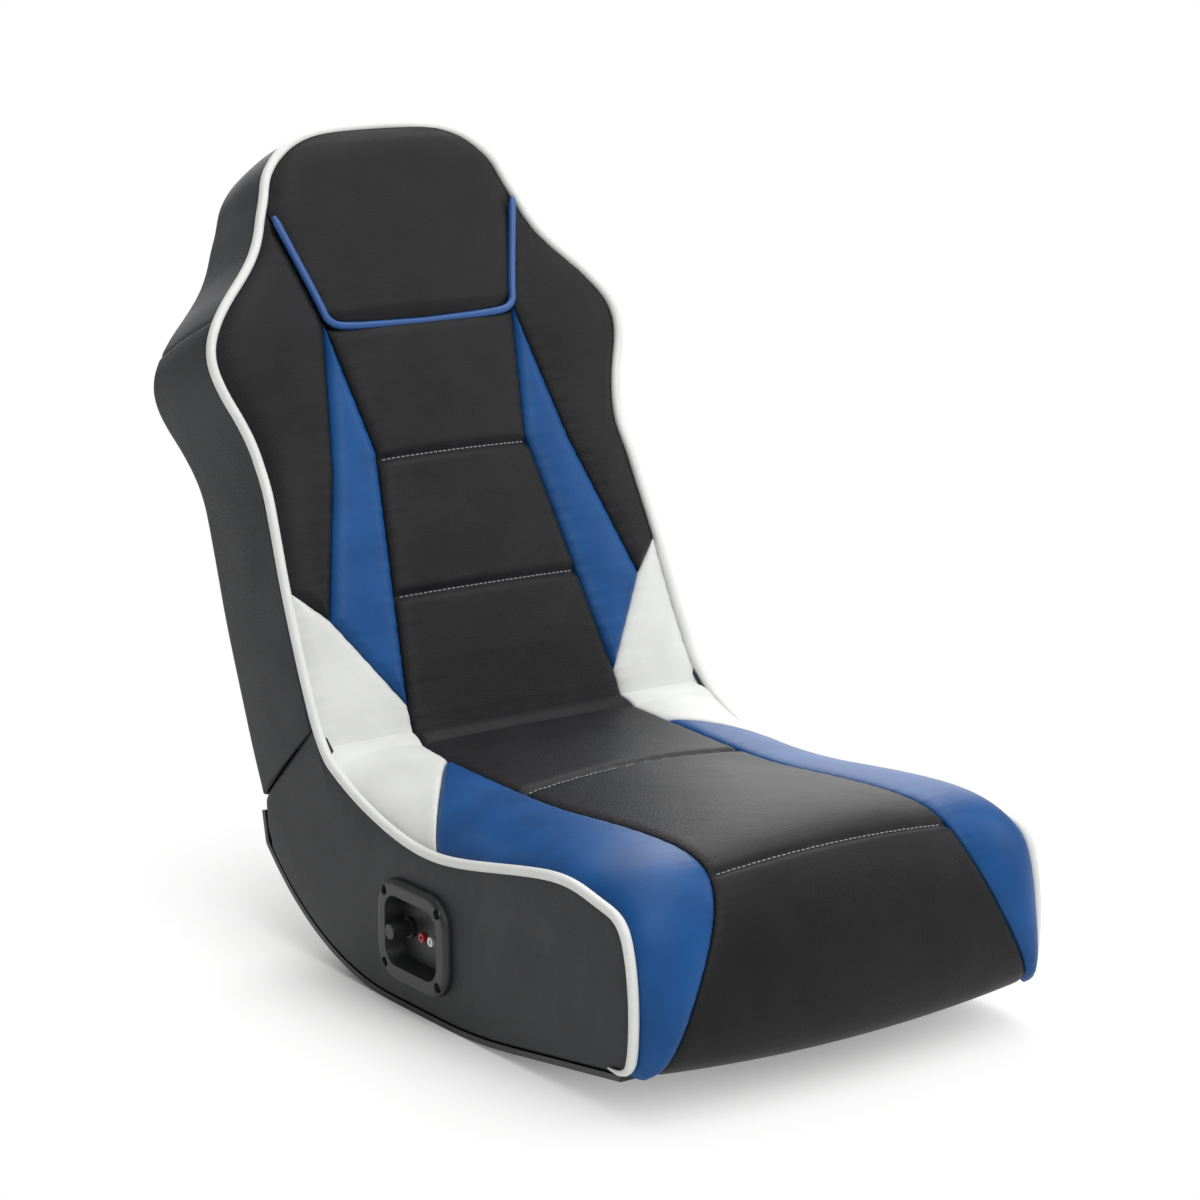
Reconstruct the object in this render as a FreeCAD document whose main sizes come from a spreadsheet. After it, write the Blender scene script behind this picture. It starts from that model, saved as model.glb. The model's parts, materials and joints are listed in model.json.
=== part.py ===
import FreeCAD, Part

import math
import os

from FreeCAD import Placement, Rotation, Vector

# Gaming rocker chair: an upholstered floor rocker whose backrest folds forward
# on two butt hinges at the crease between the seat and the back.
#
# Two working frames are used, both with their origin on the crease, midway
# between the sides:
#   seat frame: x to the sitter's left, y to the rear, z up
#   back frame: x as above, y up along the backrest, z out of its front face
# A pair (s, t) names a point of the fold in either of them: s is the height
# along the backrest, and t is the depth behind its front plane.

SIZES = {
    # whole chair
    "crease_height": 197.0,  # floor to the crease
    "crease_back": 63.8,  # middle of the chair's box to the crease
    "back_tilt": 25.0,  # backrest's lean from upright, degrees
    "seat_half": 208.0,  # middle plane to the outer face of a seat side
    "seat_front": 453.0,  # crease to the front edge of a seat side
    "rest_front": 173.0,  # crease to the front end of the rockers' flat
    "rest_rear": 97.0,  # crease to its rear end
    "roll_front": 700.0,  # radius of the rockers ahead of the flat
    "roll_rear": 291.0,  # radius of the rockers behind the flat
    "roll_front_turn": 8.6,  # degrees turned by each of these arcs
    "roll_rear_turn": 43.0,
    "tail_run": 15.0,  # straight run behind the rear arc
    "tail_rise": 29.5,  # upturned end of the rocker strips
    "tail_flare": 6.0,
    # backrest's outline: half widths, and heights along the backrest
    "hip_half": 209.0,
    "waist_half": 195.0,
    "waist_up": 268.0,
    "shoulder_half": 233.0,
    "shoulder_up": 370.0,
    "neck_half": 141.0,
    "neck_up": 474.0,
    "head_half": 117.0,
    "head_up": 564.0,
    "back_depth": 136.0,  # front plane to the rear cover
    "head_depth": 96.0,  # the same at the top of the head
    "rear_bend_up": 410.0,
    # its seams
    "hip_seam_half": 111.0,
    "hip_seam_up": 31.0,
    "wing_half": 167.0,
    "wing_up": 117.0,
    "wing_edge_up": 155.0,
    "waist_seam_half": 80.0,
    "waist_seam_up": 266.0,
    "headrest_low": 380.0,
    "headrest_half": 98.0,
    "headrest_edge": 130.0,
    "headrest_edge_up": 486.0,
    "cover_seam_up": 402.0,
    # boards and skins
    "side_ply": 15.0,
    "skin": 8.0,  # padded leather on the sides
    "strip": 5.0,  # rocker strip
    "strip_width": 26.0,
    "strip_back": 20.0,  # front edge of a side to the strip's front end
    "deck_ply": 9.0,
    "rail_ply": 18.0,
    "base_board": 5.0,
    "base_recess": 14.0,  # base board above the rockers' lowest line
    "front_pad": 44.0,  # front edge of the seat to its front rail
    "bolster_low": 158.0,  # crease down to the bolsters' lower ends
    "centre_low": 146.0,  # and to the centre pad's
    "back_ply": 6.0,
    "back_strip": 3.0,  # bent hardboard round the backrest
    "back_rail": 12.0,
    "rear_skin": 2.5,
    "pad_depth": 30.0,  # front plane to the board behind the pads
    "piping_dia": 8.0,
    "piping_depth": 17.0,  # front plane to the middle of the white piping
    "thin_piping_dia": 6.0,
    # fold
    "axis_depth": 5.0,  # fold axis behind the front plane
    "leaf": 2.0,
    "leaf_wide": 60.0,
    "leaf_long": 80.0,
    "knuckle_dia": 7.0,
    "pin_dia": 4.0,
    "pin_play": 0.06,
    "hinge_out": 118.0,  # middle plane to the inner end of a hinge
    "fold_gap": 1.0,  # between the two leaves, and between the side skins
    "pad_gap": 3.2,  # fold plane to the pads on either side
    "rail_gap": 2.5,  # fold plane to the boards on either side
    "clearance": 0.3,
    # sound
    "speaker_dia": 66.0,
    "speaker_out": 84.0,
    "speaker_up": 420.0,
    # control panel on the sitter's right
    "panel_ahead": 144.0,  # crease to the panel's middle
    "panel_below": 126.0,
    "panel_long": 108.0,
    "panel_tall": 90.0,
    "panel_proud": 9.0,
    "panel_round": 30.0,
    "panel_rim": 9.0,  # rim's outer edge to the shell behind it
    "dish_deep": 17.0,
    "dish_wall": 2.5,
    "knob_dia": 14.0,
    "knob_skirt": 18.0,
    "knob_long": 22.0,
    "shaft_dia": 6.0,
    "jack_dia": 8.2,
    "jack_bore": 3.3,
    "jack_pitch": 14.0,
    "screw_dia": 3.8,
}

doc = FreeCAD.newDocument("rocker_chair")
sheet = doc.addObject("Spreadsheet::Sheet", "Sizes")
for row, (alias, value) in enumerate(SIZES.items(), start=1):
    sheet.set("A%d" % row, alias)
    sheet.set("B%d" % row, str(value))
    sheet.setAlias("B%d" % row, alias)
doc.recompute()

PIECES = []


def size(alias):
    """A driving dimension, read from the sheet."""
    return float(sheet.get(alias))


def bound(expression):
    """An expression on the sheet's cells, from one that uses bare aliases."""
    words = expression.split()
    return " ".join("Sizes." + word if word in SIZES else word for word in words)


def fold_point(s, t):
    """Where (s, t) of the fold lies in the seat frame, as (y, z)."""
    tilt = math.radians(size("back_tilt"))
    return (
        s * math.sin(tilt) + t * math.cos(tilt),
        s * math.cos(tilt) - t * math.sin(tilt),
    )


def place(piece, frame):
    """Puts a piece into its frame, tied to the sheet."""
    tilt = 90 - size("back_tilt") if frame == "back" else 0
    base = Vector(0, size("crease_back"), size("crease_height"))
    piece.Placement = Placement(base, Rotation(Vector(1, 0, 0), tilt))
    piece.setExpression("Placement.Base.y", bound("crease_back"))
    piece.setExpression("Placement.Base.z", bound("crease_height"))
    if frame == "back":
        piece.setExpression("Placement.Rotation.Angle", bound("90deg - back_tilt * 1deg"))


# Outlines

def unit(a, b):
    run = math.hypot(b[0] - a[0], b[1] - a[1])
    return (b[0] - a[0]) / run, (b[1] - a[1]) / run


def turn_of(before, after):
    """The signed turn between two directions, left positive."""
    cross = before[0] * after[1] - before[1] * after[0]
    return math.atan2(cross, before[0] * after[0] + before[1] * after[1])


def flat(a, b):
    return Vector(a, b, 0)


def rounded(corners, closed=True):
    """Straight runs joined by tangent arcs, from corners (a, b, radius)."""
    runs = []
    first = last = None
    count = len(corners)
    for i, (a, b, radius) in enumerate(corners):
        sharp = radius == 0 or (not closed and i in (0, count - 1))
        start = stop = flat(a, b)
        if not sharp:
            before = unit(corners[i - 1], corners[i])
            after = unit(corners[i], corners[(i + 1) % count])
            half = abs(turn_of(before, after)) / 2
            reach = radius * math.tan(half)
            bow = radius / math.cos(half) - radius
            inward = flat(after[0] - before[0], after[1] - before[1]).normalize()
            start = flat(a - before[0] * reach, b - before[1] * reach)
            stop = flat(a + after[0] * reach, b + after[1] * reach)
            mid = flat(a, b) + inward * bow
        if first is None:
            first = start
        elif (start - last).Length > 1e-6:
            runs.append(Part.LineSegment(last, start))
        if not sharp:
            runs.append(Part.Arc(start, mid, stop))
        last = stop
    if closed and (first - last).Length > 1e-6:
        runs.append(Part.LineSegment(last, first))
    return runs


def inset(corners, gap, closed=True):
    """An outline moved to its left by gap, with its arcs kept concentric."""
    moved = []
    count = len(corners)
    for i, (a, b, radius) in enumerate(corners):
        ahead = unit(corners[i], corners[(i + 1) % count])
        behind = unit(corners[i - 1], corners[i])
        if not closed and i == 0:
            behind = ahead
        if not closed and i == count - 1:
            ahead = behind
        turn = turn_of(behind, ahead)
        normal = flat(-behind[1] - ahead[1], behind[0] + ahead[0]).normalize()
        reach = gap / math.cos(turn / 2)
        if radius:
            radius = max(radius - gap * math.copysign(1, turn), 1)
        moved.append((a + normal.x * reach, b + normal.y * reach, radius))
    return moved


def mirrored(corners):
    """A closed outline on the other side of the middle plane."""
    return [(-a, b, radius) for a, b, radius in reversed(corners)]


def footed(corners, up, radius=0):
    """A backrest outline whose sides run on down, or stop, at a height."""
    low, bend = corners[0], corners[1]
    half = low[0] + (up - low[1]) / (bend[1] - low[1]) * (bend[0] - low[0])
    return [(half, up, radius)] + corners[1:-1] + [(-half, up, radius)]


def straight(*points):
    """Straight lines from point to point."""
    spots = [flat(*point[:2]) for point in points]
    return [Part.LineSegment(a, b) for a, b in zip(spots, spots[1:])]


def band(corners, thick):
    """A closed outline of even thickness, laid to the left of an open line."""
    far = inset(corners, thick, closed=False)
    ends = straight(corners[0], far[0]) + straight(corners[-1], far[-1])
    return rounded(corners, closed=False) + rounded(far, closed=False) + ends


def back_outline():
    """The backrest seen from the front, counter-clockwise from one hip."""
    half = [
        (size("hip_half"), 0, 0),
        (size("hip_half") - 3, size("waist_up") - 118, 300),
        (size("waist_half"), size("waist_up"), 110),
        (size("shoulder_half"), size("shoulder_up"), 60),
        (size("neck_half"), size("neck_up"), 80),
        (size("head_half"), size("head_up"), 52),
    ]
    return half + [(0, size("head_up") + 7, 900)] + mirrored(half)


def outline_half(up):
    """Half the backrest's width at a height, on the outline's straight runs."""
    corners = back_outline()[:6]
    for low, high in zip(corners, corners[1:]):
        if up <= high[1]:
            break
    share = (up - low[1]) / (high[1] - low[1])
    return low[0] + share * (high[0] - low[0])


def rear_line(gap=0.0):
    """The rear of the backrest in the back frame's y-z plane, from the bottom up,
    moved forward by gap."""
    line = [
        (-60, -size("back_depth"), 0),
        (size("rear_bend_up"), -size("back_depth"), 300),
        (size("head_up") + 11, -size("head_depth"), 0),
    ]
    return inset(line, gap, closed=False)


def rear_at(up, gap):
    """Depth of the rear line at a height, on its straight runs."""
    bend, high = rear_line(gap)[1:]
    share = max(0, (up - bend[0]) / (high[0] - bend[0]))
    return bend[1] + share * (high[1] - bend[1])


def started(line, at):
    """An open line whose first run starts at another first coordinate."""
    first, second = line[:2]
    share = (at - first[0]) / (second[0] - first[0])
    return [(at, first[1] + share * (second[1] - first[1]), 0)] + line[1:]


def base_line(front):
    """The rockers' running line, from a front end round to the upturned tail."""
    low = -size("crease_height")
    slope = math.radians(size("roll_front_turn"))
    turn = math.radians(size("roll_rear_turn"))
    roll, run = size("roll_rear"), size("tail_run")
    knee = -size("rest_front") - size("roll_front") * math.tan(slope / 2)
    tail_y = roll * math.sin(turn) + run * math.cos(turn) - size("rest_rear")
    tail_z = low + roll * (1 - math.cos(turn)) + run * math.sin(turn)
    return [
        (front, low + (knee - front) * math.tan(slope), 0),
        (knee, low, size("roll_front")),
        (roll * math.tan(turn / 2) - size("rest_rear"), low, roll),
        (tail_y, tail_z, 12),
        (tail_y + size("tail_flare"), tail_z + size("tail_rise"), 0),
    ]


def rail_face():
    """Front face of the front rail, on which the front of the pads lies."""
    return size("front_pad") - size("seat_front")


def deck_line():
    """Top of the deck and face of the front rail, from the crease forward."""
    face = rail_face()
    return [
        (*fold_point(-size("pad_gap"), 46), 0),
        (8, -66, 40),
        (-60, -86, 80),
        (face + 150, -86, 300),
        (face + 58, -70, 100),
        (face, -76, 12),
        (face, -250, 0),
    ]


def piping_line(gap=0.0):
    """Middle of the white piping beside the seat, from the crease forward."""
    front = 1 - size("seat_front")
    line = [
        (*fold_point(60, size("piping_depth")), 0),
        (*fold_point(-5, size("piping_depth")), 80),
        (-152, -58, 230),
        (front + 76, -12, 200),
        (front, -27, 38),
        (front, -156, 17),
        (front + 34, -157, 0),
    ]
    return inset(line, gap, closed=False)


# Solids

def sketch_on(body, role, curves, offset):
    """A sketch of plain curves on one of the body's own origin planes."""
    plane = [part for part in body.Origin.OriginFeatures if part.Role == role][0]
    sketch = body.newObject("Sketcher::SketchObject", body.Label + "_sketch")
    sketch.AttachmentSupport = [(plane, "")]
    sketch.MapMode = "FlatFace"
    sketch.setExpression("AttachmentOffset.Base.z", bound(offset))
    for curve in curves:
        sketch.addGeometry(curve, False)
    return sketch


def keep(piece, label, frame):
    piece.Label = label
    place(piece, frame)
    PIECES.append(piece)
    return piece


def board(label, frame, role, curves, offset, thick):
    """A body made of one flat outline, cut to thickness."""
    body = doc.addObject("PartDesign::Body", label)
    body.Label = label
    pad = body.newObject("PartDesign::Pad", label + "_pad")
    pad.Profile = sketch_on(body, role, curves, offset)
    pad.setExpression("Length", bound(thick))
    body.Tip = pad
    return keep(body, label, frame)


def cut_through(body, role, curves, offset, deep):
    """Cuts an outline out of a board, from its far face back through it."""
    doc.recompute()
    before = body.Shape.Volume
    pocket = body.newObject("PartDesign::Pocket", body.Label + "_pocket")
    pocket.Profile = sketch_on(body, role, curves, offset)
    pocket.setExpression("Length", bound(deep))
    body.Tip = pocket
    doc.recompute()
    if body.Shape.Volume > before - 1:
        raise RuntimeError("the cut in %s removed nothing" % body.Label)


def formed(label, frame, shape):
    """A piece whose shape comes from lofts, sweeps and cuts."""
    piece = doc.addObject("Part::Feature", label)
    own = shape.Placement.isIdentity()
    piece.Shape = shape if own else Part.makeCompound([shape])
    return keep(piece, label, frame)


def wire_of(curves):
    return Part.Wire(Part.__sortEdges__([curve.toShape() for curve in curves]))


def carried(face, run):
    """A face carried along a straight run, as a solid that encloses its volume."""
    solid = face.extrude(run)
    if solid.Volume < 0:
        solid.reverse()
    return solid


def prism(curves, low, high):
    """An outline in the x-y plane, carried along z from low to high."""
    face = Part.Face(wire_of(curves))
    face.translate(Vector(0, 0, low))
    return carried(face, Vector(0, 0, high - low))


def to_side(shape, x):
    """Turns a shape drawn in the x-y plane into the y-z plane, at x."""
    turn = Placement(Vector(x, 0, 0), Rotation(Vector(1, 1, 1), 120))
    return shape.transformed(turn.toMatrix())


def side_prism(curves, low, high):
    """An outline in the y-z plane, carried along x from low to high."""
    return carried(to_side(Part.Face(wire_of(curves)), low), Vector(high - low, 0, 0))


def tube(path, radius):
    """A round section carried along a wire."""
    edge = path.Edges[0]
    start = edge.valueAt(edge.FirstParameter)
    ring = Part.makeCircle(radius, start, edge.tangentAt(edge.FirstParameter))
    return path.makePipeShell([Part.Wire(ring)], True, False)


def path_of(corners):
    """An open wire in the x-y plane, in the order of its corners."""
    return Part.Wire([curve.toShape() for curve in rounded(corners, closed=False)])


def rod(radius, start, length, along=Vector(1, 0, 0)):
    return Part.makeCylinder(radius, length, start, along)


def both_sides(make):
    """Runs make(side, sign) for the sitter's left and right."""
    for side, sign in (("left", 1), ("right", -1)):
        make(side, sign)


def across():
    """The run between the plywood sides: start and length."""
    return ("skin + side_ply - seat_half", "2 * seat_half - 2 * skin - 2 * side_ply")


# Seat carcass

def fold_line(side):
    """Ends of the slanting gap between the side skins, +1 above and -1 below."""
    shift = side * size("fold_gap") / 2
    return (22.7 + shift, 26.8), (shift - 7.2, size("back_depth") - 12)


def side_frame_corners():
    """A plywood side of the seat, between the rocker strip and the deck."""
    lower = inset(base_line(rail_face()), size("strip"), closed=False)
    lower = started(lower, rail_face())
    corner = fold_point(-10, size("back_depth") - 24)
    upright = (lower[-2][0], corner[1] - 14, 0)
    rear = [upright, (*corner, 8), (*fold_point(-size("rail_gap"), 62), 0)]
    return lower[:-1] + rear + deck_line()[:-1]


def side_skin_corners():
    """The padded side up to the piping, before the fold line takes its corner."""
    upper = piping_line(size("piping_dia") / 2)
    lower = inset(base_line(upper[-1][0]), size("strip"), closed=False)
    (up, near), (down, far) = fold_line(-1)
    rear = [(*fold_point(down, far), 14), (*fold_point(up, near), 0),
            (*fold_point(60, near), 0)]
    return lower[:-1] + rear + upper


def fold_corner():
    """What the fold line takes off a seat side, behind the piping."""
    up = fold_line(-1)[0][0]
    return rounded([(*fold_point(up, 10), 0), (*fold_point(up, 40), 0),
                    (*fold_point(90, 40), 0), (*fold_point(90, 10), 0)])


def panel_window():
    """Opening for the control housing, and holes for its four screws."""
    opening = rounded(panel_corners(size("panel_rim") - size("clearance")))
    radius = size("screw_dia") / 2 + size("clearance") / 3
    holes = [Part.Circle(flat(y, z), Vector(0, 0, 1), radius) for y, z in screw_spots()]
    return opening + holes


def make_seat_sides():
    def one(side, sign):
        ply_from = "seat_half - skin - side_ply" if sign > 0 else "skin - seat_half"
        skin_from = "seat_half - skin" if sign > 0 else "0 - seat_half"
        skin_to = "seat_half" if sign > 0 else "skin - seat_half"
        ply = board("seat_side_frame_" + side, "seat", "YZ_Plane",
                    rounded(side_frame_corners()), ply_from, "side_ply")
        skin = board("seat_side_cover_" + side, "seat", "YZ_Plane",
                     rounded(side_skin_corners()), skin_from, "skin")
        cut_through(skin, "YZ_Plane", fold_corner(), skin_to, "skin")
        if sign < 0:
            ply_to = "skin + side_ply - seat_half"
            cut_through(ply, "YZ_Plane", panel_window(), ply_to, "side_ply")
            cut_through(skin, "YZ_Plane", panel_window(), skin_to, "skin")

    both_sides(one)


def make_rocker_strips():
    """The hard strips that the chair rolls on, with an upturned tail."""
    curves = band(base_line(size("strip_back") - size("seat_front")), size("strip"))

    def one(side, sign):
        start = "seat_half - strip_width - 1" if sign > 0 else "1 - seat_half"
        board("rocker_strip_" + side, "seat", "YZ_Plane", curves, start, "strip_width")

    both_sides(one)


def make_deck():
    """The bent plywood deck under the seat cushion."""
    line = deck_line()[:-1]
    end = rail_face() + size("rail_ply") + size("clearance")
    line = started(line[::-1], end)[::-1]
    board("seat_deck", "seat", "YZ_Plane", band(line, size("deck_ply")), *across())


def rear_board_ends():
    """The rear board's run behind the deck's end, as depths along the fold."""
    return 57, 107


def make_base_board():
    """The hardboard belly between the rockers, set up from the floor."""
    line = inset(base_line(rail_face()), size("base_recess"), closed=False)
    behind_rail = fold_point(-size("rail_gap") - size("rail_ply"), rear_board_ends()[1])
    line[-1] = (line[-2][0] - 1, behind_rail[1] + 6, 0)
    board("base_board", "seat", "YZ_Plane", band(line, size("base_board")), *across())


def make_seat_rails():
    """Cross rails between the plywood sides, and the board under the fold."""
    thick = size("rail_ply")
    inside = size("base_recess") + size("base_board")
    face = rail_face()
    floor = inset(base_line(face), inside, closed=False)[0][1]
    front = [(face, floor, 0), (face + thick, floor, 0), (face + thick, -75.5, 0),
             (face + 12, -76, 0), (face, -88, 0)]
    low = inside - size("crease_height")
    middle = face + 170
    deck_low = -86 - size("deck_ply")
    ribs = [(middle, low + 3.5, 0), (middle + thick, low + 2, 0),
            (middle + thick, deck_low, 0), (middle, deck_low, 0)]
    near, far = rear_board_ends()
    top = -size("rail_gap")
    rear = [(*fold_point(top - thick, near + 5), 0), (*fold_point(top - thick, far), 0),
            (*fold_point(top, far), 0), (*fold_point(top, near), 0)]
    board("seat_front_rail", "seat", "YZ_Plane", rounded(front), *across())
    board("seat_middle_rail", "seat", "YZ_Plane", rounded(ribs), *across())
    board("seat_rear_board", "seat", "YZ_Plane", rounded(rear), *across())


# Seat upholstery

def seat_sections():
    """Cross sections of the seat pads, from the crease forward: the foot (y, z),
    the lean from upright, the height of the inner seam, the height at the
    piping, the centre pad's half width and its crown."""
    face = rail_face()
    hip = size("hip_seam_half")
    return [
        (*fold_point(-size("pad_gap"), 46), 90 - size("back_tilt"), 46, 30, hip + 4, 0),
        (8, -63, 38, 70, 46, hip + 6, 4),
        (-55, -85, 15, 73, 48, hip + 7, 8),
        (-160, -86, 0, 61, 29, hip + 7, 10),
        (face + 159, -86, 0, 67, 43, hip + 8, 10),
        (face + 59, -70, 2, 67, 47, hip + 9, 9),
        (face + 7, -74, 30, 66, 46, hip + 10, 8),
        (face, -100, 80, 36, 38, hip + 39, 7),
        (face, -size("bolster_low"), 90, 38, 36, hip + 80, 3),
    ]


def section_wire(section, runs):
    """A closed section from runs of (x, height): two points a line, three an arc."""
    y, z, lean = section[:3]
    up = (-math.sin(math.radians(lean)), math.cos(math.radians(lean)))
    edges = []
    for run in runs:
        points = [Vector(x, y + up[0] * rise, z + up[1] * rise) for x, rise in run]
        curve = Part.Arc(*points) if len(points) == 3 else Part.LineSegment(*points)
        edges.append(curve.toShape())
    return Part.Wire(edges)


def centre_section(section):
    """The centre pad's section: crowned, with its seams drawn in."""
    seam, _, half, crown = section[3:]
    draw, foot = 5, -8
    return section_wire(section, [
        ((-half, foot), (half, foot)),
        ((half, foot), (half, seam - draw)),
        ((half, seam - draw), (half - draw, seam)),
        ((half - draw, seam), (0, seam + crown + 0.5), (draw - half, seam)),
        ((draw - half, seam), (-half, seam - draw)),
        ((-half, seam - draw), (-half, foot)),
    ])


def bolster_section(section, sign):
    """A bolster's section: a roll from the inner seam out to the piping."""
    seam, edge, half = section[3:6]
    draw, foot = 5, -8
    inner = (half + size("clearance")) * sign
    outer = (size("seat_half") - size("skin")) * sign
    swell = (seam + edge) / 2 + 0.22 * abs(seam - edge) + 4
    return section_wire(section, [
        ((inner, foot), (outer, foot)),
        ((outer, foot), (outer, edge)),
        ((outer, edge), ((inner + outer) / 2, swell), (inner + draw * sign, seam)),
        ((inner + draw * sign, seam), (inner, seam - draw)),
        ((inner, seam - draw), (inner, foot)),
    ])


def carcass_block():
    """Everything under the deck and behind the front rail's face."""
    line = deck_line()
    reach = size("seat_half") + 10
    corners = line + [(200, -250, 0), (200, line[0][1] - 40, 0),
                      (*fold_point(-size("pad_gap"), 112), 0)]
    return side_prism(rounded(corners), -reach, reach)


def fold_relief(frame):
    """The round clearance that every pad leaves about the fold axis."""
    radius = size("knuckle_dia") / 2 + 2 * size("clearance")
    reach = size("hip_half") + 10
    y, z = (0, -size("axis_depth")) if frame == "back" else fold_point(0, size("axis_depth"))
    return rod(radius, Vector(-reach, y, z), 2 * reach)


def channel(section, deep):
    """A sewn channel pressed into the centre pad along a section."""
    y, z, lean, seam, _, half, crown = section
    up = Vector(0, -math.sin(math.radians(lean)), math.cos(math.radians(lean)))
    radius = 5.0
    foot = Vector(0, y, z) + up * (seam + radius - deep)
    side = Vector(half + 5, 0, 0)
    path = Part.Arc(foot - side, foot + up * crown, foot + side)
    return tube(Part.Wire(path.toShape()), radius)


def make_seat_pads():
    block = carcass_block()
    relief = fold_relief("seat")
    sections = seat_sections()
    drop = 100
    below = Part.makeBox(500, 120, drop,
                         Vector(-250, rail_face() - 110, -size("centre_low") - drop))
    centre = Part.makeLoft([centre_section(one) for one in sections], True, False)
    for cutter in (block, relief, below, channel(sections[3], 2.5), channel(sections[6], 2.0)):
        centre = centre.cut(cutter)
    formed("seat_centre_pad", "seat", centre)

    # the white hip panel ends on a slant, from the inner seam out to the piping
    half = size("seat_half")
    slant = [(100, 60, 0), (100, -5, 0), (size("hip_seam_half") + 7, -31, 0),
             (half + 22, -195, 0), (half + 22, 60, 0)]

    def one(side, sign):
        wires = [bolster_section(one, sign) for one in sections]
        whole = Part.makeLoft(wires, True, False)
        for cutter in (block, relief, centre):
            whole = whole.cut(cutter)
        corners = slant if sign > 0 else mirrored(slant)
        gap = size("clearance") / 2
        hip = prism(rounded(inset(corners, gap)), -250, 200)
        grown = prism(rounded(inset(corners, -gap)), -250, 200)
        formed("seat_white_pad_" + side, "seat", whole.common(hip))
        formed("seat_blue_pad_" + side, "seat", whole.cut(grown))

    both_sides(one)


def above_gap(side):
    """Everything above the slanting gap's upper or lower edge, in the back frame."""
    (up, near), (down, far) = fold_line(side)
    slope = (down - up) / (far - near)
    depth = size("back_depth")
    corners = [(up - slope * (near + 40), 40, 0), (up + slope * (depth - near), -depth, 16),
               (900, -depth, 0), (900, 40, 0)]
    return side_prism(rounded(corners), -300, 300)


def make_seat_piping():
    """The white piping's run beside the seat, up to the slanting gap."""
    above = above_gap(-1)
    above.Placement = Placement(Vector(), Rotation(Vector(1, 0, 0), 90 - size("back_tilt")))

    def one(side, sign):
        path = to_side(path_of(piping_line()), sign * (size("seat_half") - 1))
        run = tube(path, size("piping_dia") / 2)
        formed("seat_piping_" + side, "seat", run.cut(above))

    both_sides(one)


# Backrest carcass

def make_back_board():
    """The shaped plywood that carries the pads, with two speaker holes."""
    edge = size("skin") + size("back_strip") + size("clearance")
    corners = footed(inset(back_outline(), edge), 6)
    body = board("back_board", "back", "XY_Plane", rounded(corners),
                 "0 - pad_depth - back_ply", "back_ply")
    radius = size("speaker_dia") / 2 + size("clearance")
    holes = [Part.Circle(flat(sign * size("speaker_out"), size("speaker_up")),
                         Vector(0, 0, 1), radius) for sign in (1, -1)]
    cut_through(body, "XY_Plane", holes, "0 - pad_depth", "back_ply")


def make_back_rails():
    """Three rails between the board and the rear cover."""
    thick = size("back_rail")
    front = -size("pad_depth") - size("back_ply")
    rails = {
        "back_bottom_rail": (size("rail_gap"), 184),
        "back_middle_rail": (size("waist_up") - 16, 176),
        "back_top_rail": (size("head_up") - 36, 96),
    }
    for label, (up, half) in rails.items():
        rear = [rear_at(at, size("rear_skin")) for at in (up, up + thick)]
        corners = [(up, front, 0), (up, rear[0], 0), (up + thick, rear[1], 0),
                   (up + thick, front, 0)]
        board(label, "back", "YZ_Plane", rounded(corners), str(-half), str(2 * half))


def behind(gap):
    """Everything behind the rear line, moved forward by gap."""
    bottom, bend, top = rear_line(gap)
    far = -2 * size("back_depth")
    slope = (top[1] - bend[1]) / (top[0] - bend[0])
    over = (top[0] + 60, top[1] + 60 * slope, 0)
    return side_prism(rounded([bottom, bend, over, (over[0], far, 0), (bottom[0], far, 0)]),
                      -300, 300)


def ring(outer_gap, inner_gap, low, high):
    """A band that follows the backrest's outline, open at the bottom."""
    outer = footed(inset(back_outline(), outer_gap), -20)
    inner = footed(inset(back_outline(), inner_gap), -50)
    return prism(rounded(outer), low, high).cut(prism(rounded(inner), low - 1, high + 1))


def make_back_sides():
    """Bent hardboard strips, and the padded skins over them."""
    skin = size("skin")
    low = -size("back_depth") - 1
    rear = behind(size("rear_skin"))
    strip = ring(skin, skin + size("back_strip"), low, -size("pad_depth")).cut(rear)
    cover = ring(0, skin, low, -size("piping_depth") - 3).cut(rear).cut(back_piping_tube())
    wide, tall = 700, 900
    seam = size("cover_seam_up")

    def zone(x, up):
        return Part.makeBox(wide, tall, 300, Vector(x, up, -250))

    formed("back_head_cover", "back", cover.common(zone(-wide / 2, seam + size("clearance"))))

    def one(side, sign):
        start = min(0, sign * wide)
        bent = strip.common(zone(start, 26))
        formed("back_side_strip_" + side, "back", bent)
        lower = cover.common(zone(start, seam - tall)).common(above_gap(1))
        formed("back_side_cover_" + side, "back", lower)

    both_sides(one)


def make_rear_cover():
    """The flat leather back, bent forward behind the head."""
    corners = footed(inset(back_outline(), 1), 8, 12)
    outline = prism(rounded(corners), -size("back_depth") - 5, 0)
    bent = side_prism(band(rear_line(), size("rear_skin")), -300, 300)
    formed("back_rear_cover", "back", bent.common(outline))


# Backrest upholstery

def half_panels():
    """One side's panels seen from the front, outlined at the seams."""
    wing = (size("wing_half"), size("wing_up"))
    hip = (size("hip_seam_half"), size("hip_seam_up"))
    waist = (size("waist_seam_half"), size("waist_seam_up"))
    apex = (size("headrest_half") + 6, size("headrest_low") + 6)
    head = (size("headrest_edge") + 2, size("headrest_edge_up"))
    edge = (outline_half(size("wing_edge_up")), size("wing_edge_up"))
    far = size("shoulder_half") + 20
    low = size("pad_gap")
    panels = {
        "white": [(hip[0] + 2, low), (far, low), (far, edge[1] + 8), edge, wing, hip],
        "blue": [hip, wing, apex, waist],
        "outer": [wing, edge, (far, edge[1] + 8), (far, size("neck_up")),
                  (size("neck_half") + 12, size("neck_up") + 24), head, apex],
    }
    return {name: [(*corner, 0) for corner in corners] for name, corners in panels.items()}


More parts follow.
